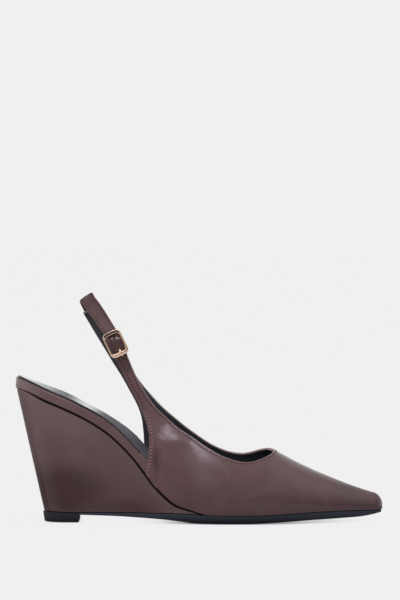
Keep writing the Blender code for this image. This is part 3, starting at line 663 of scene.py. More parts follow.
def ramp(tree, source, stops):
    """Colour ramp over a value, through stops of place and colour."""
    node = add_node(tree, "ValToRGB", {"Fac": source})
    elements = node.color_ramp.elements
    for element, (position, colour) in zip(elements, (stops[0], stops[-1])):
        element.position = position
        element.color = (*colour, 1.0)
    for position, colour in stops[1:-1]:
        elements.new(position).color = (*colour, 1.0)
    return node.outputs["Color"]


def grey_ramp(tree, source, stops):
    """Ramp through stops of place and brightness."""
    return ramp(tree, source, [(position, (value,) * 3) for position, value in stops])


def two_tone(tree, source, dark, light):
    """Ramp from a dark to a light colour over a noise."""
    return ramp(tree, source, list(zip(GRAIN_STOPS, (dark, light))))


def map_range(tree, source, start, full, low=0.0, high=1.0, **settings):
    """Value carried from one range to another."""
    inputs = {"Value": source, "From Min": start, "From Max": full, "To Min": low, "To Max": high}
    return add_node(tree, "MapRange", inputs, **settings).outputs["Result"]


def spread(tree, source, low, high):
    """Value of a noise carried to a range."""
    return map_range(tree, source, *NOISE_RANGE, low, high)


def share_along(tree, axis, low, high):
    """Share of the way between two places along an axis, in millimetres of the tables."""
    split = add_node(tree, "SeparateXYZ", {"Vector": coordinates(tree)})
    shift = ORIGIN["XYZ".index(axis)]
    return map_range(tree, split.outputs[axis], (low + shift) * MM, (high + shift) * MM)


def blend_values(tree, share, first, second):
    """Blend two values by a fixed share of the second."""
    inputs = {"Factor": share, "A": first, "B": second}
    return add_node(tree, "Mix", inputs, data_type="FLOAT").outputs["Result"]


def blend_colours(tree, share, first, second):
    """Blend two colours by a share of the second; the mix node has its colours at these numbers."""
    return add_node(tree, "Mix", {"Factor": share, 6: first, 7: second}, data_type="RGBA").outputs[2]


def bump(tree, *layers):
    """Chain bump layers of (height, strength, distance) into the shader's normal."""
    before = {}
    for height, strength, distance in layers:
        inputs = {"Height": height, "Strength": strength, "Distance": distance * MM, **before}
        before = {"Normal": add_node(tree, "Bump", inputs).outputs["Normal"]}
    feed(tree, before)


def lay_patches(tree, under, patches):
    """Lay soft patches over a colour or a roughness, each an ellipse in side view."""
    for patch in patches:
        centre = (Vector((patch.x, 0.0, patch.z)) + ORIGIN) * MM
        wide, high = patch.wide * MM, patch.high * MM
        inputs = {
            "Vector": coordinates(tree),
            "Scale": (1.0 / wide, 0.0, 1.0 / high),
            "Location": (-centre.x / wide, 0.0, -centre.z / high),
        }
        inside = {"Vector": add_node(tree, "Mapping", inputs).outputs["Vector"]}
        fade = add_node(tree, "TexGradient", inside, gradient_type="SPHERICAL").outputs["Fac"]
        share = map_range(tree, fade, 0.0, PATCH_FULL, 0.0, patch.strength, interpolation_type="SMOOTHSTEP")
        under = blend_colours(tree, share, under, (*patch.colour, 1.0))
    return under


def leather(name, tone, gloss, heights=(0.0, 100.0), painted_height_light=0.0, dark_patches=(), dull=(), shine=POLISHED):
    """Polished smooth leather: cloudy colour with painted light and shade by height, patches of darker
    colour, uneven gloss, fine pores.
    """
    material, tree = new_material(name, tone.mid, gloss[0], shine.specular)
    # Painted light and shade: a random cloud blended with the share of the way between two heights
    level = blend_values(tree, painted_height_light, noise_value(tree, *LEATHER_CLOUD), share_along(tree, "Z", *heights))
    colour = ramp(tree, level, list(zip(TONE_STOPS, tone)))
    rough = spread(tree, noise_value(tree, *LEATHER_RUB), *gloss)
    feed(tree, {
        "Base Color": lay_patches(tree, colour, dark_patches),
        "Roughness": lay_patches(tree, rough, dull),
        "Coat Weight": shine.coat,
        "Coat Roughness": COAT_ROUGHNESS,
    })
    pores = add_node(tree, "TexVoronoi", {"Vector": coordinates(tree), "Scale": LEATHER_PORES})
    bump(
        tree,
        (noise_value(tree, *LEATHER_SOFT), *SOFT_BUMP),
        (noise_value(tree, *LEATHER_FIBRE), *FIBRE_BUMP),
        (pores.outputs["Distance"], *PORE_BUMP),
    )
    return material


def plain_grain(row):
    """Material with one grain that sets its colour and bump, and a slower one that sets its gloss."""
    material, tree = new_material(row.name, row.dark, row.roughness, row.specular)
    grain = noise_value(tree, row.scale, *GRAIN_DETAIL)
    cloud = noise_value(tree, GRAIN_CLOUD * row.scale, GRAIN_CLOUD_DETAIL)
    feed(tree, {
        "Base Color": two_tone(tree, grain, row.dark, row.light),
        "Roughness": spread(tree, cloud, row.roughness - GRAIN_GLOSS, row.roughness + GRAIN_GLOSS),
    })
    bump(tree, (grain, row.strength, row.distance))
    return material


def sock_material():
    """Smooth sock lining whose gloss changes along the shoe, with a fine grain and a slow wave."""
    material, tree = new_material("sock", SOCK_DARK, SOCK_ROUGHNESS)
    grain = noise_value(tree, SOCK_GRAIN, *GRAIN_DETAIL)
    reach = SOCK_GLOSS[-1].x
    stops = [(stop.x / reach, stop.roughness) for stop in SOCK_GLOSS]
    feed(tree, {
        "Base Color": two_tone(tree, grain, SOCK_DARK, SOCK_LIGHT),
        "Roughness": grey_ramp(tree, share_along(tree, "X", 0.0, reach), stops),
    })
    wave = noise_value(tree, *SOCK_WAVE)
    bump(tree, (wave, *SOCK_WAVE_BUMP), (grain, *SOCK_GRAIN_BUMP))
    return material


def rubber_material(name, low, high, heights):
    """Dull rubber with a fine grain, and painted shade that darkens it towards the floor."""
    material, tree = new_material(name, high, RUBBER_ROUGHNESS, RUBBER_SPECULAR)
    grain = noise_value(tree, *RUBBER_GRAIN)
    level = blend_values(tree, RUBBER_SHADE_BY_HEIGHT, grain, share_along(tree, "Z", *heights))
    feed(tree, {
        "Base Color": ramp(tree, level, list(zip(RUBBER_STOPS, (low, high)))),
        "Roughness": spread(tree, noise_value(tree, *RUBBER_CLOUD), *RUBBER_GLOSS),
    })
    bump(tree, (grain, *RUBBER_BUMP))
    return material


def gold(name):
    """Polished rose gold with faint wipe marks."""
    material, tree = new_material(name, GOLD_TONE, GOLD_ROUGHNESS)
    wipe = noise_value(tree, *GOLD_WIPE)
    feed(tree, {
        "Base Color": two_tone(tree, noise_value(tree, GOLD_CLOUD), GOLD_DARK, GOLD_LIGHT),
        "Roughness": spread(tree, wipe, *GOLD_GLOSS),
        "Metallic": 1.0,
    })
    bump(tree, (wipe, *GOLD_WIPE_BUMP))
    return material


def add_piece(name, mesh, materials, replaced=()):
    """Link a mesh as a piece of the shoe that rides on its body."""
    for material in materials:
        mesh.materials.append(material)
    mesh.shade_smooth()
    piece = bpy.data.objects.new(name, mesh)
    bpy.context.scene.collection.objects.link(piece)
    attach(piece, BODY)
    if replaced:
        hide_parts(*replaced)
    return piece


def mesh_from(name, points, faces):
    """Mesh in the frame's metres from points in millimetres."""
    mesh = bpy.data.meshes.new(name)
    mesh.from_pydata([(Vector(point) + ORIGIN) * MM for point in points], [], faces)
    return mesh


def search_tree(points, faces):
    """Tree that finds places on a sheet."""
    return BVHTree.FromPolygons([tuple(point) for point in points], faces)


def sheet_faces(rows, flip=False):
    """Faces of a sheet between its rows of point numbers; where rows share a point they are triangles."""
    faces = []
    for row, following in zip(rows, rows[1:]):
        for i in range(len(row) - 1):
            face = [row[i], following[i], following[i + 1], row[i + 1]]
            face = list(dict.fromkeys(face[::-1] if flip else face))
            if len(face) > 2:
                faces.append(tuple(face))
    return faces


def ring_faces(first, rings, sides, closed=False, flip=False):
    """Faces between rings of points that follow one another; closed joins the last ring to the first."""
    faces = []
    for ring in range(rings if closed else rings - 1):
        here = first + ring * sides
        ahead = first + (ring + 1) % rings * sides
        for side in range(sides):
            after = (side + 1) % sides
            a, b, c, d = here + side, here + after, ahead + after, ahead + side
            faces.append((a, d, c, b) if flip else (a, b, c, d))
    return faces


def tube_faces(first, rings, sides):
    """Faces of a tube through rings of points, with both ends closed."""
    last = first + (rings - 1) * sides
    ends = [tuple(reversed(range(first, first + sides))), tuple(range(last, last + sides))]
    return ring_faces(first, rings, sides) + ends


def fan_faces(first, sides):
    """Faces of a disc from its rim to its middle point, which follows the rim."""
    return [(first + side, first + (side + 1) % sides, first + sides) for side in range(sides)]


def vertex_normals(points, faces):
    """Unit normals of a sheet's points."""
    sheet = bpy.data.meshes.new("sheet")
    sheet.from_pydata([tuple(point) for point in points], [], faces)
    normals = np.array([vertex.normal for vertex in sheet.vertices])
    bpy.data.meshes.remove(sheet)
    return normals


def border_of(points, faces, normals):
    """Border edges of a sheet, and the way out of the sheet at each of their points."""
    directed = {(face[i], face[(i + 1) % len(face)]) for face in faces for i in range(len(face))}
    border = sorted(edge for edge in directed if (edge[1], edge[0]) not in directed)
    outward = {}
    for a, b in border:
        out = np.cross(points[b] - points[a], normals[a] + normals[b])
        for index in (a, b):
            outward[index] = outward.get(index, 0.0) + out / max(np.linalg.norm(out), 1e-9)
    return border, {index: out / max(np.linalg.norm(out), 1e-9) for index, out in outward.items()}


def thick_sheet(name, points, faces, normals, wall, roll, turned_under=()):
    """Give a sheet a wall on its inner side and rolled edges.

    Material 0 is outside and on the edges that are turned under, 1 on the other edges and 2 inside.
    """
    count = len(points)
    border, outward = border_of(points, faces, normals)
    made = list(points) + list(points - normals * wall)
    row_of = {}
    for index, out in outward.items():
        middle = points[index] - 0.5 * wall * normals[index]
        row = [index]
        for step in range(1, ROLL_STEPS):
            angle = math.pi * step / ROLL_STEPS
            row.append(len(made))
            raised = 0.5 * wall * math.cos(angle) * normals[index]
            made.append(middle + raised + roll * math.sin(angle) * out)
        row.append(index + count)
        row_of[index] = row
    inner = [tuple(index + count for index in reversed(face)) for face in faces]
    rim, rim_slots = [], []
    for a, b in border:
        for step in range(ROLL_STEPS):
            rim.append((row_of[b][step], row_of[a][step], row_of[a][step + 1], row_of[b][step + 1]))
            rim_slots.append(0 if a in turned_under and b in turned_under else 1)
    mesh = mesh_from(name, made, list(faces) + rim + inner)
    slots = [0] * len(faces) + rim_slots + [2] * len(inner)
    mesh.polygons.foreach_set("material_index", slots)
    return mesh


def on_seam(x):
    """Foot of a rib on the seam."""
    return [x, seam_height(x) + seam_gap(x)]


Line = namedtuple("Line", "foot top free_foot free_top")


def rib_lines(side):
    """Ribs of one side in side view, from the strap end to the toe, and which ends are free edges."""
    wing, quarter = WINGS[side], QUARTERS[side]
    feet = [(rib.rear_x, rib.rear_z) for rib in wing] + [on_seam(rib.foot_x) for rib in quarter]
    tops = [(rib.front_x, rib.front_z) for rib in wing + quarter]
    feet = np.array(feet + [on_seam(THROAT_FOOT_X)])
    tops = np.array(tops + [(THROAT_X, ridge_height(THROAT_X))])
    lines = []
    for index in range(len(feet) - 1):
        for step in range(RIB_STEPS):
            share = step / RIB_STEPS
            foot = catmull_rom(*neighbours(feet, index), share)
            top = catmull_rom(*neighbours(tops, index), share)
            if index >= len(wing):
                foot = on_seam(foot[0])
            lines.append(Line(foot, top, index < len(wing), True))
    slant = THROAT_X - THROAT_FOOT_X
    for step in range(VAMP_RIBS + 1):
        x = THROAT_X + (SHOE_LENGTH - THROAT_X) * (1.0 - (1.0 - step / VAMP_RIBS) ** CLOSE_UP_POWER)
        left = (SHOE_LENGTH - x) / (SHOE_LENGTH - THROAT_X)
        lines.append(Line(on_seam(x - slant * left * left), (x, ridge_height(x)), False, False))
    return lines


def rib_curve(line, side):
    """Points of a rib, eased along the surface inside its trimmed ends, and distances to both ends."""
    foot, top = Vector(line.foot), Vector(line.top)
    samples = []
    for step in range(RIB_SAMPLES + 1):
        x, z = foot + (top - foot) * (0.5 * (1.0 - math.cos(math.pi * step / RIB_SAMPLES)))
        samples.append((x, upper_y(x, z, side), z))
    samples = np.array(samples)
    reach = reach_of(samples)
    trim = FOOT_TRIM + WEDGE_TRIM * rise(foot.x, *WEDGE_TRIM_END)
    start = min(UPPER_ROLL if line.free_foot else trim, FOOT_TRIM_MOST * reach[-1])
    stop = reach[-1] - UPPER_ROLL if line.free_top else reach[-1]
    eased = 0.5 * (1.0 - np.cos(np.pi * np.arange(RIB_COLUMNS + 1) / RIB_COLUMNS))
    at = start + (stop - start) * eased
    return places_at(samples, reach, at), at, reach[-1] - at


def crease_depth(x, z, side):
    """Depth of the creases at a place on one side, in side view: troughs with a low ridge on each flank."""
    depth = 0.0
    for crease in CREASES:
        if crease.side != side:
            continue
        turn = math.radians(crease.turn)
        dx, dz = x - crease.x, z - crease.z
        along = (dx * math.cos(turn) + dz * math.sin(turn)) / crease.length
        across = (dz * math.cos(turn) - dx * math.sin(turn)) / crease.width
        if abs(along) < CREASE_ENDS and abs(across) < CREASE_SIDES:
            ripple = (1.0 - CREASE_FLANK * across * across) * math.exp(-0.5 * across * across)
            depth += crease.depth * ripple * math.exp(-CREASE_FADE * along * along)
    return depth


def buckle_axes():
    """Width, length and outward axes of the buckle, tilted to lie on tail and strap."""
    down = Vector((BUCKLE_DOWN[0], BUCKLE_TILT, BUCKLE_DOWN[1])).normalized()
    width = Vector((-BUCKLE_DOWN[1], 0.0, BUCKLE_DOWN[0])).normalized()
    return width, down, down.cross(width)


def buckle_origin():
    """Centre of the frame's back face."""
    x, z = BUCKLE_CENTRE
    return Vector((x, upper_y(x, z, LATERAL) - BUCKLE_CLEAR, z))


def tail_lift(x, z):
    """How far the tail swells out at a place in side view, by its distance below the buckle's centre."""
    dx, dz = x - BUCKLE_CENTRE[0], z - BUCKLE_CENTRE[1]
    return tail_swell(dx * TAIL_DOWN[0] + dz * TAIL_DOWN[1])


def groove_depth(off):
    """Depth of the groove that a row of stitches pulls in, at a distance from the row."""
    return GROOVE_DEPTH * math.exp(-(off / GROOVE_REACH) ** 2)


def relief_at(x, z, side, line, to_foot, to_top):
    """How far the leather stands out at a place on a rib: creases, grooves, tail and rear corner."""
    height = -crease_depth(x, z, side)
    if line.free_top:
        height -= groove_depth(to_top - EDGE_ROW)
    if line.free_foot:
        height -= groove_depth(to_foot - REAR_ROW)
    if side == LATERAL:
        height += tail_lift(x, z)
    return height + CORNER_LIFT * rise(x, *CORNER_REACH) * rise(z, *CORNER_TOP)


def upper_normals(points, faces, throat):
    """Normals of the upper, from its faces or, by the throat where they are slivers, from the last."""
    normals = vertex_normals(points, faces)
    for index, normal in throat.items():
        normals[index] = normal
    return normals


def upper_sheet():
    """Points, faces and normals of the upper's outside, its ribs as point rows, its turned-under feet."""
    points, relief, faces = [], [], []
    rows_of, throat = {}, {}
    for side in SIDES:
        rows = []
        lines = rib_lines(side)
        for line in lines:
            row = []
            for column, ((x, y, z), to_foot, to_top) in enumerate(zip(*rib_curve(line, side))):
                ridge = not line.free_top and column == RIB_COLUMNS
                if side == MEDIAL and (ridge or x > SHOE_LENGTH - TOE_WELD):
                    row.append(rows_of[LATERAL][len(rows) - len(lines)][column])
                    continue
                if THROAT_NEAR_X < x <= THROAT_X and to_top < THROAT_DEEP:
                    throat[len(points)] = last_normal(x, z, side)
                row.append(len(points))
                points.append((x, y, z))
                relief.append(relief_at(x, z, side, line, to_foot, to_top))
            rows.append(row)
        rows_of[side] = rows
        faces += sheet_faces(rows, side == MEDIAL)
    points = np.array(points)
    for index, point in enumerate(points):
        wave = noise.noise(Vector(point) / UNEVEN_SIZE)
        wave += UNEVEN_FINE_SHARE * noise.noise(Vector(point) / UNEVEN_FINE_SIZE)
        relief[index] += UNEVEN_DEPTH * wave
    points = points + upper_normals(points, faces, throat) * np.array(relief)[:, None]
    turned_under = {row[0] for rows in rows_of.values() for row in rows}
    return points, faces, upper_normals(points, faces, throat), rows_of, turned_under


def evenly(line, pitch):
    """Centres and directions at an even pitch along a line of points."""
    reach = reach_of(line)
    count = max(int(reach[-1] / pitch), 1)
    at = (np.arange(count) + 0.5) * reach[-1] / count
    ways = places_at(line, reach, at + WAY_REACH) - places_at(line, reach, at - WAY_REACH)
    return places_at(line, reach, at), ways / np.linalg.norm(ways, axis=1)[:, None]


class Sewing:
    """Collects the stitches of one sheet, in two threads, and its needle holes."""

    def __init__(self, points, faces, normals):
        self.points, self.faces, self.normals = points, faces, normals
        self.tree = search_tree(points, faces)
        self.outward = border_of(points, faces, normals)[1]
        self.meshes = {"thread": ([], []), "pale_thread": ([], []), "needle_holes": ([], [])}

    def row(self, edge, distance, thread, run_on=0.0):
        """Sew one row at a distance inside an edge, given as point numbers, and on past its end."""
        line = [self.points[index] - distance * self.outward[index] for index in edge]
        last_way = line[-1] - line[-ROW_WAY_POINTS]
        line.append(line[-1] + last_way * (run_on / np.linalg.norm(last_way)))
        size = STITCHES[thread]
        for centre, way in zip(*evenly(np.array(line), size.pitch)):
            place, _, face, _ = self.tree.find_nearest(Vector(centre))
            corners = [self.normals[index] for index in self.faces[face]]
            normal = Vector(np.sum(corners, axis=0)).normalized()
            way = Vector(way)
            way = (way - normal * way.dot(normal)).normalized()
            self.stitch(place, way, normal, thread)
            self.hole(place + way * (0.5 * size.pitch), way, normal, size.hole)

    def stitch(self, place, way, normal, thread):
        """One thread bead, high in its middle and diving in at both ends."""
        points, faces = self.meshes[thread]
        size = STITCHES[thread]
        across = normal.cross(way)
        faces.extend(tube_faces(len(points), STITCH_STATIONS, STITCH_SIDES))
        for station in range(STITCH_STATIONS):
            share = station / (STITCH_STATIONS - 1)
            swell = math.sin(math.pi * min(max(share, STITCH_END), 1.0 - STITCH_END)) ** STITCH_FULL_POWER
            centre = place + way * (size.length * (share - 0.5))
            centre += normal * (STITCH_HEIGHT * (swell - STITCH_SINK))
            for beside, above in circle(STITCH_SIDES):
                ring = across * (0.5 * size.width * beside) + normal * (STITCH_HALF_THICK * above)
                points.append(centre + ring * swell)

    def hole(self, place, way, normal, radius):
        """One needle hole, as a low dark dome of painted shade just proud of the leather."""
        points, faces = self.meshes["needle_holes"]
        across = normal.cross(way)
        faces.extend(fan_faces(len(points), STITCH_SIDES))
        for ahead, beside in circle(STITCH_SIDES):
            points.append(place + (way * ahead + across * beside) * radius + normal * NEEDLE_RIM)
        points.append(place + normal * NEEDLE_MIDDLE)

    def pieces(self, name, materials):
        """Make one joined piece of each kind that was sewn."""
        for kind, (points, faces) in self.meshes.items():
            if points:
                full_name = name + "_" + kind
                add_piece(full_name, mesh_from(full_name, points, faces), [materials[kind]])


def build_upper(materials, threads):
    """The upper with rolled edges, lining, creases, tail swell and edge stitching."""
    points, faces, normals, rows_of, turned_under = upper_sheet()
    mesh = thick_sheet("upper_leather", points, faces, normals, UPPER_WALL, UPPER_ROLL, turned_under)
    add_piece("upper_leather", mesh, materials, ["upper"])
    sewing = Sewing(points, faces, normals)
    topline = []
    lit_from = PAINTED_LIT_FROM_RIB * RIB_STEPS
    for side, rows in rows_of.items():
        wing_ribs = len(WINGS[side]) * RIB_STEPS
        throat_rib = wing_ribs + len(QUARTERS[side]) * RIB_STEPS
        rear = [row[0] for row in rows[1:wing_ribs - REAR_ROW_CUT]]
        sewing.row(rear[:lit_from], REAR_ROW - UPPER_ROLL, "thread")
        # Lower part of each rear row in the lighter copy of the thread, a painted highlight
        sewing.row(rear[lit_from:], REAR_ROW - UPPER_ROLL, "pale_thread", ROW_RUN_ON)
        topline.append([row[-1] for row in rows[1:throat_rib]])
    sewing.row(topline[0] + topline[1][::-1], EDGE_ROW - UPPER_ROLL, "thread")
    sewing.pieces("upper", threads)
    return points, faces


def strap_path():
    """Plan of the loop, from the buckle round the heel to the medial joint: along, y, drop."""
    path = []
    for step in range(STRAP_LEG_STEPS):
        along = STRAP_BUCKLE_END + (LOOP_DEPTH - STRAP_BUCKLE_END) * step / STRAP_LEG_STEPS
        path.append((along, -leg_half(along), 0.0))
    for step in range(STRAP_TURN_STEPS + 1):
        share = step / STRAP_TURN_STEPS
        angle = math.pi * share
        along = LOOP_DEPTH * (1.0 - math.sin(angle)) - LOOP_REACH * math.sin(angle)
        path.append((along, -LOOP_HALF_WIDTH * math.cos(angle), MEDIAL_DROP * ease(share)))
    for step in range(1, STRAP_LEG_STEPS + 1):
        along = LOOP_DEPTH + (STRAP_JOINT_END - LOOP_DEPTH) * step / STRAP_LEG_STEPS
        path.append((along, leg_half(along), MEDIAL_DROP))
    return np.array(path)


def build_sling_strap(materials, threads):
    """Back strap: a crowned band with rolled edges and a row of stitches along each edge."""
    path = strap_path()
    points, rows = [], []
    full = 0.5 * STRAP_WIDTH - STRAP_ROLL
    wall = STRAP_THICKNESS - STRAP_CROWN
    for index, (along, y, drop) in enumerate(path):
        way = Vector(way_at(path, index)[:2]).normalized()
        share = index / (len(path) - 1)
        narrow = 0.5 * STRAP_TAPER * ease(along / STRAP_BUCKLE_END) if y < 0.0 else 0.0
        behind = 0.5 * HEEL_TAPER * rise(share, *HEEL_TAPER_SHARE)
        ahead = 0.5 * HEEL_FULL * rise(share, *HEEL_FULL_SHARE)
        half = full - narrow - behind + ahead
        rows.append(range(len(points), len(points) + STRAP_COLUMNS + 1))
        for column in range(STRAP_COLUMNS + 1):
            across = -half * math.cos(math.pi * column / STRAP_COLUMNS)
            crown = STRAP_CROWN * (1.0 - (across / half) ** 2)
            crown -= groove_depth(half - abs(across) + STRAP_ROLL - STRAP_ROW)
            outward = SEAT_GAP + wall + crown
            place = LOOP_END + STRAP_ALONG * (along - way.y * outward)
            place += STRAP_ACROSS * (across + drop + behind + ahead - narrow)
            points.append((place.x, y + way.x * outward, place.z))
    faces = []
    for row, following in zip(rows, rows[1:]):
        for i in range(STRAP_COLUMNS):
            faces.append((row[i], row[i + 1], following[i + 1], following[i]))
    points = np.array(points)
    normals = vertex_normals(points, faces)
    mesh = thick_sheet("sling_strap_leather", points, faces, normals, wall, STRAP_ROLL)
    add_piece("sling_strap_leather", mesh, materials, ["sling_strap"])
    sewing = Sewing(points, faces, normals)
    for end in (0, -1):
        sewing.row([row[end] for row in rows[1:-1]], STRAP_ROW - STRAP_ROLL, "thread")
    sewing.pieces("sling_strap", threads)


def rounded_outline(width, length, corner, bow):
    """Closed outline of a rectangle with round corners and a bowed top, at evenly shared steps."""
    corners = []
    for quarter in range(4):
        sign_x = 1 if quarter in (0, 3) else -1
        sign_y = 1 if quarter in (0, 1) else -1
        for step in range(BUCKLE_ARC_STEPS + 1):
            angle = 0.5 * math.pi * (quarter + step / BUCKLE_ARC_STEPS)
            x = sign_x * (0.5 * width - corner) + corner * math.cos(angle)
            corners.append((x, sign_y * (0.5 * length - corner) + corner * math.sin(angle)))
    points = []
    for index, (x, y) in enumerate(corners):
        points.append((x, y))
        if index % (BUCKLE_ARC_STEPS + 1) == BUCKLE_ARC_STEPS:
            next_x, next_y = corners[(index + 1) % len(corners)]
            for step in range(1, BUCKLE_BAR_STEPS):
                share = step / BUCKLE_BAR_STEPS
                points.append((x + (next_x - x) * share, y + (next_y - y) * share))
    lift = [bow * (1.0 - (2.0 * x / width) ** 2) if y < 0.0 else 0.0 for x, y in points]
    return [(x, y - raise_by) for (x, y), raise_by in zip(points, lift)]


def build_buckle_frame(materials):
    """Frame with slim side bars, a stout lower bar and a broad grooved upper bar."""
    width, down, outward = buckle_axes()
    centre = buckle_origin() + outward * (0.5 * BUCKLE_THICKNESS)
    outer = rounded_outline(BUCKLE_WIDTH, BUCKLE_LENGTH, BUCKLE_CORNER, BUCKLE_OUTER_BOW)
    opening = rounded_outline(
        BUCKLE_OPENING_WIDTH, BUCKLE_OPENING_LENGTH, BUCKLE_OPENING_CORNER, BUCKLE_BOW)
    points, slots = [], []
    for (outer_x, outer_y), (inner_x, inner_y) in zip(outer, opening):
        mid_x, mid_y = 0.5 * (outer_x + inner_x), 0.5 * (outer_y + inner_y)
        half_x, half_y = 0.5 * (outer_x - inner_x), 0.5 * (outer_y - inner_y)
        on_top = rise(-mid_y, *BUCKLE_GROOVE_UP) * rise(abs(mid_x), *BUCKLE_GROOVE_ENDS)
        for step, corner in enumerate(circle(BUCKLE_SECTION)):
            side, lift = (math.copysign(abs(c) ** power, c) for c, power in zip(corner, BUCKLE_FLAT_POWERS))
            height = 0.5 * BUCKLE_THICKNESS * lift
            if lift > 0.0:
                height -= BUCKLE_GROOVE * on_top * math.exp(-(side / BUCKLE_GROOVE_WIDTH) ** 2)
            place = centre + width * (mid_x + half_x * side) + down * (mid_y + half_y * side)
            points.append(place + outward * height)
            # Faces in the groove take the second material, painted shade
            slots.append(1 if on_top > 0.5 and step in BUCKLE_GROOVE_STEPS else 0)
    faces = ring_faces(0, len(outer), BUCKLE_SECTION, closed=True, flip=True)
    mesh = mesh_from("buckle_frame_gold", points, faces)
    mesh.polygons.foreach_set("material_index", slots)
    add_piece("buckle_frame_gold", mesh, materials, ["buckle_frame"])


def tube(places, radii, sides):
    """Points and faces of a closed tube along a line of places."""
    points = []
    first = (places[1] - places[0]).orthogonal()
    for index, (place, radius) in enumerate(zip(places, radii)):
        way = way_at(places, index).normalized()
        first = (first - way * first.dot(way)).normalized()
        second = way.cross(first)
        points += [place + (first * c + second * s) * radius for c, s in circle(sides)]
    return points, tube_faces(0, len(places), sides)


def build_prong(material):
    """Prong: up out of the tail's hole, then down over the lower bar, with a rounded tip."""
    width, down, outward = buckle_axes()
    origin = buckle_origin() + width * PRONG_ACROSS
    places = [origin + down * stop.down + outward * stop.out for stop in PRONG_ROUTE]
    fine, radii = [], []
    for index, (stop, following) in enumerate(zip(PRONG_ROUTE, PRONG_ROUTE[1:])):
        for step in range(PRONG_STEPS):
            share = step / PRONG_STEPS
            fine.append(catmull_rom(*neighbours(places, index), share))
            radii.append(PRONG_RADIUS * (stop.size + (following.size - stop.size) * share))
    mesh = mesh_from("buckle_prong_gold", *tube(fine, radii, PRONG_SIDES))
    add_piece("buckle_prong_gold", mesh, [material], ["buckle_prong"])


def build_tail_holes(points, faces, dark, leather_edge):
    """Punched holes of the tail: a dark disc of painted shade inside a soft lip."""
    tree = search_tree(points, faces)
    floor, lip = ([], []), ([], [])
    for hole in TAIL_HOLES:
        x = BUCKLE_CENTRE[0] + hole.down * BUCKLE_DOWN[0] - hole.across * BUCKLE_DOWN[1]
        z = BUCKLE_CENTRE[1] + hole.down * BUCKLE_DOWN[1] + hole.across * BUCKLE_DOWN[0]
        place, normal, _, _ = tree.ray_cast(Vector((x, RAY_BESIDE, z)), RAY_INWARD)
        first = normal.orthogonal().normalized()
        second = normal.cross(first)
        floor[1].extend(fan_faces(len(floor[0]), HOLE_SIDES))
        lip[1].extend(ring_faces(len(lip[0]), HOLE_SIDES, HOLE_LIP_SIDES, closed=True, flip=True))
        for c, s in circle(HOLE_SIDES):
            way = first * c + second * s
            floor[0].append(place + way * HOLE_RADIUS + normal * HOLE_STAND)
            for out, above in circle(HOLE_LIP_SIDES):
                lip[0].append(place + way * (HOLE_RADIUS + HOLE_LIP * out) + normal * (HOLE_LIP * above))
        floor[0].append(place + normal * HOLE_STAND)
    add_piece("tail_hole_shades", mesh_from("tail_hole_shades", *floor), [dark])
    add_piece("tail_hole_lips", mesh_from("tail_hole_lips", *lip), [leather_edge])


def plan_line(inset, last_x):
    """Line round the heel in plan, inside the sole edge by a rule of x: lateral side, heel, medial side."""
    places = []
    for side in SIDES:
        half = []
        for step in range(CORD_STEPS + 1):
            x = last_x * (1.0 - math.cos(0.5 * math.pi * step / CORD_STEPS))
            half.append(Vector((x, side * sole_half(x, side), 0.0)))
        places = places + half[1:] if places else half[::-1]
    line = []
    for index, place in enumerate(places):
        way = way_at(places, index)
        outward = Vector((-way.y, way.x, 0.0)).normalized()
        line.append(place - outward * inset(place.x))
    return line


def band_edge(cord, side, tree):
    """Line of a cord on the band's top along one side, and the share of its full size at each place."""
    line = plan_line(lambda x: cord.inset + HEEL_LEAN * at_heel(x), BAND_END)
    edge = [place for place in line if place.y * side > 0.0 and place.x > cord.start[0]]
    for place in edge:
        above = (Vector((place.x, place.y, RAY_ABOVE)) + ORIGIN) * MM
        place.z = tree.ray_cast(above, RAY_DOWN)[0].z / MM
    return edge, [rise(place.x, *cord.start) for place in edge]


def add_cord(name, places, radii, material):
    """Piece with the form of a cord along a line of places."""
    add_piece(name, mesh_from(name, *tube(places, radii, CORD_SIDES)), [material])


def build_cords(dark, piping, rim, band):
    """Dark cord of painted shade in the seam, piping on the band's top edge, and a dark rim along the
    sock's medial edge as a painted dark reflection.
    """
    seam = plan_line(smooth_column(SEAM_SHADE_CORD, "inset"), SEAM_SHADE_END)
    thickness = smooth_column(SEAM_SHADE_CORD, "radius")
    for place in seam:
        place.z = seam_height(place.x)
    add_cord("seam_shade_cord", seam, [thickness(place.x) for place in seam], dark)
    tree = BVHTree.FromObject(band, bpy.context.evaluated_depsgraph_get())
    for side, side_name in SIDES.items():
        edge, shares = band_edge(BAND_PIPING, side, tree)
        radii = [BAND_PIPING.radius * (BAND_PIPING.least + (1.0 - BAND_PIPING.least) * s) for s in shares]
        add_cord("band_piping_" + side_name, edge, radii, piping)
    # Dark cord along the sock's medial edge: a painted dark reflection
    edge, shares = band_edge(SOCK_DARK_REFLECTION, MEDIAL, tree)
    for place, share in zip(edge, shares):
        place.z += SOCK_REFLECTION_RAISE * share
    radii = [SOCK_DARK_REFLECTION.radius * (SOCK_DARK_REFLECTION.least + (1.0 - SOCK_DARK_REFLECTION.least) * s) for s in shares]
    add_cord("sock_painted_reflection", edge, radii, rim)


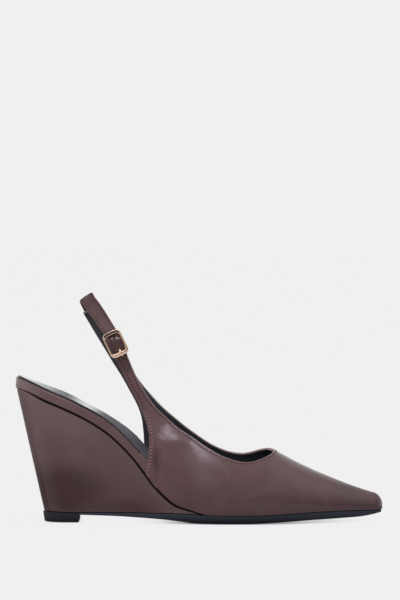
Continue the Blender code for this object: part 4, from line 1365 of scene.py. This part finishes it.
def build_band_tongues(material):
    """Ends of the band that run on under the quarters' rear edges."""
    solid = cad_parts["footbed"].data
    corners = [vertex.co / MM - ORIGIN for vertex in solid.vertices]
    tree = search_tree(corners, [tuple(face.vertices) for face in solid.polygons])
    columns = len(TONGUE_SHARES)
    for side, side_name in SIDES.items():
        points = []
        for step in range(TONGUE_STEPS + 1):
            x = TONGUE_ENDS[0] + (TONGUE_ENDS[1] - TONGUE_ENDS[0]) * step / TONGUE_STEPS
            half = sole_half(x, side)
            top = tree.ray_cast(Vector((x, side * (half - TONGUE_PROBE), RAY_ABOVE)), RAY_DOWN)[0].z
            low = seam_height(x) + TONGUE_ABOVE_SEAM
            height = top - TONGUE_BELOW_TOP - low
            for share in TONGUE_SHARES:
                points.append((x, side * (half - TONGUE_INSET), low + height * share))
        points = np.array(points)
        rows = [range(first, first + columns) for first in range(0, len(points), columns)]
        faces = sheet_faces(rows, side == MEDIAL)
        name = "band_tongue_" + side_name
        mesh = thick_sheet(name, points, faces, vertex_normals(points, faces), TONGUE_WALL, TONGUE_ROLL)
        add_piece(name, mesh, [material])


def heel_swell(amount):
    """Rule that moves places at the back of the heel outwards."""
    return lambda x, z: amount * at_heel(x)


def tip_lip(x, z):
    """Rule that leans the back of the top piece out, most at its top."""
    return TIP_LIP * z / TIP_LIP_HEIGHT * rise(x, *TIP_LIP_REACH)


def smooth_copy(node, name, material, edge_round, levels, swell=None):
    """New piece with a node's form: joined to quads, moved back by a rule, edges rounded, subdivided."""
    shell = bmesh.new()
    shell.from_mesh(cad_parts[node].data)
    bmesh.ops.remove_doubles(shell, verts=shell.verts, dist=COPY_WELD * MM)
    bmesh.ops.join_triangles(
        shell, faces=shell.faces, angle_face_threshold=math.radians(COPY_FACE_ANGLE),
        angle_shape_threshold=math.radians(COPY_SHAPE_ANGLE))
    for vertex in shell.verts if swell else ():
        vertex.co.x -= swell(vertex.co.x / MM - ORIGIN.x, vertex.co.z / MM) * MM
    mesh = bpy.data.meshes.new(name)
    shell.to_mesh(mesh)
    shell.free()
    mesh.materials.clear()
    piece = add_piece(name, mesh, [material], [node])
    edges = piece.modifiers.new("edges", "BEVEL")
    edges.width = edge_round * MM
    edges.segments = COPY_EDGE_STEPS
    edges.limit_method = "ANGLE"
    edges.angle_limit = math.radians(COPY_EDGE_ANGLE)
    edges.use_clamp_overlap = False
    if levels:
        fine = piece.modifiers.new("fine", "SUBSURF")
        fine.levels = levels
        fine.render_levels = levels
    return piece


def add_object(name, data):
    """Link an object of the studio to the scene."""
    thing = bpy.data.objects.new(name, data)
    bpy.context.scene.collection.objects.link(thing)
    return thing


def build_floor():
    """Plain pale glowing floor that darkens only where the shoe comes close to it: a painted contact
    shadow.
    """
    material, tree = new_material("pale_floor", [FLOOR_TONE] * 3, 0.9, 0.0)
    reach = {"Distance": CONTACT_REACH * MM}
    near = add_node(tree, "AmbientOcclusion", reach, samples=CONTACT_SAMPLES)
    glow = ramp(tree, near.outputs["AO"], FLOOR_CONTACT)
    feed(tree, {"Emission Color": glow, "Emission Strength": FLOOR_GLOW})
    mesh = bpy.data.meshes.new("floor")
    signs = [(-1, -1), (1, -1), (1, 1), (-1, 1)]
    corners = [(x * FLOOR_REACH, y * FLOOR_REACH, FLOOR_LEVEL * MM) for x, y in signs]
    mesh.from_pydata(corners, [], [(0, 1, 2, 3)])
    mesh.materials.append(material)
    floor = add_object("floor", mesh)
    floor.visible_diffuse = False
    floor.visible_glossy = False


def build_world():
    """Pale backdrop for the camera, and a soft dome in sectors as light."""
    world = bpy.data.worlds.new("studio")
    world.use_nodes = True
    tree = world.node_tree
    split = add_node(tree, "SeparateXYZ", {"Vector": coordinates(tree, "Generated")})
    height = map_range(tree, split.outputs["Z"], -1.0, 1.0)
    tone = grey_ramp(tree, height, DOME_FRONT)
    for sector in DOME_SECTORS:
        share = map_range(tree, split.outputs[sector.axis], sector.start, sector.full)
        tone = blend_colours(tree, share, tone, grey_ramp(tree, height, sector.levels))
    dome = add_node(tree, "Background", {"Color": tone, "Strength": DOME_STRENGTH})
    back = tree.nodes["Background"]
    set_inputs(tree, back, {"Color": (*srgb(*BACKDROP), 1.0)})
    to_camera = add_node(tree, "LightPath", {}).outputs["Is Camera Ray"]
    shaders = {"Fac": to_camera, 1: dome.outputs["Background"], 2: back.outputs["Background"]}
    mix = add_node(tree, "MixShader", shaders)
    set_inputs(tree, tree.nodes["World Output"], {"Surface": mix.outputs["Shader"]})
    bpy.context.scene.world = world


def build_softbox():
    """Soft box in front of the shoe."""
    light = bpy.data.lights.new("front", "AREA")
    light.shape = "RECTANGLE"
    light.size, light.size_y = SOFTBOX_SIZE
    light.energy = SOFTBOX_WATTS
    light.color = SOFTBOX_COLOUR
    lamp = add_object("front", light)
    lamp.location = SOFTBOX_PLACE
    lamp.rotation_mode = "QUATERNION"
    lamp.rotation_quaternion = (SOFTBOX_AIM - SOFTBOX_PLACE).to_track_quat("-Z", "Y")


def build_camera():
    """Camera at the photograph's angle, with the shift that its framing needs."""
    data = bpy.data.cameras.new("camera")
    data.sensor_fit = "VERTICAL"
    data.angle = 2.0 * math.atan(0.5 * IMAGE_SIZE[1] * PIXEL / DISTANCE)
    data.shift_x = (0.5 * IMAGE_SIZE[0] - AIM_PIXEL[0]) / IMAGE_SIZE[1]
    data.shift_y = (AIM_PIXEL[1] - 0.5 * IMAGE_SIZE[1]) / IMAGE_SIZE[1]
    data.clip_end = CLIP_END
    camera = add_object("camera", data)
    camera.location = AIM + Vector((0.0, -math.cos(ELEVATION), math.sin(ELEVATION))) * DISTANCE
    camera.rotation_euler = (0.5 * math.pi - ELEVATION, 0.0, 0.0)
    bpy.context.scene.camera = camera


def main():
    """Make the materials, the pieces of the shoe and the studio."""
    # Painted light and shade by height: the upper darker low down, the strap darker at its turn behind the
    # heel, the wedge lighter towards its top
    upper = leather(
        "upper_leather", UPPER_TONE, gloss=(0.18, 0.28), heights=(8.0, 48.0), painted_height_light=0.45,
        dark_patches=UPPER_DARK_PATCHES, dull=UPPER_GLOSS)
    strap = leather(
        "strap_leather", STRAP_TONE, gloss=(0.48, 0.62), heights=(152.0, 130.0), painted_height_light=0.5, shine=DULL)
    wedge = leather(
        "wedge_leather", WEDGE_TONE, gloss=(0.24, 0.34), heights=(5.0, 85.0), painted_height_light=0.6,
        dark_patches=WEDGE_PAINTED_SHADE)
    band = leather("band_leather", BAND_TONE, gloss=(0.32, 0.44))
    sock = sock_material()
    # The first colour of each rubber is the painted shade next to the floor
    rubber = rubber_material("outsole_rubber", (0.002, 0.002, 0.003), (0.047, 0.052, 0.068), (0.5, 7.0))
    tip = rubber_material("top_piece_rubber", (0.010, 0.010, 0.014), (0.023, 0.023, 0.031), (0.5, 4.0))
    rose_gold = gold("rose_gold")
    plain = {row.name: plain_grain(row) for row in GRAINS}
    needle_dark = plain["needle_dark"]
    threads = {"thread": plain["thread"], "pale_thread": plain["pale_thread"], "needle_holes": needle_dark}

    points, faces = build_upper([upper, plain["rim_paint"], plain["lining"]], threads)
    build_tail_holes(points, faces, needle_dark, strap)
    build_sling_strap([strap, plain["edge_paint"], plain["lining"]], threads)
    build_buckle_frame([rose_gold, plain["groove_dark"]])
    build_prong(rose_gold)
    smooth_copy("wedge_heel", "wedge_cover", wedge, 0.75, 2, heel_swell(WEDGE_SWELL))
    wrap = smooth_copy("footbed", "footbed_band", band, 0.8, 2, heel_swell(BAND_SWELL))
    smooth_copy("insole_sock", "sock_lining", sock, 0.25, 2)
    smooth_copy("outsole", "outsole_sheet", rubber, 0.35, 2)
    smooth_copy("top_piece", "heel_top_piece", tip, 0.25, 0, tip_lip)
    build_band_tongues(band)
    build_cords(plain["seam_dark"], plain["piping"], plain["lining"], wrap)
    build_floor()
    build_world()
    build_softbox()
    build_camera()
    bpy.context.scene.view_settings.view_transform = "Standard"


main()
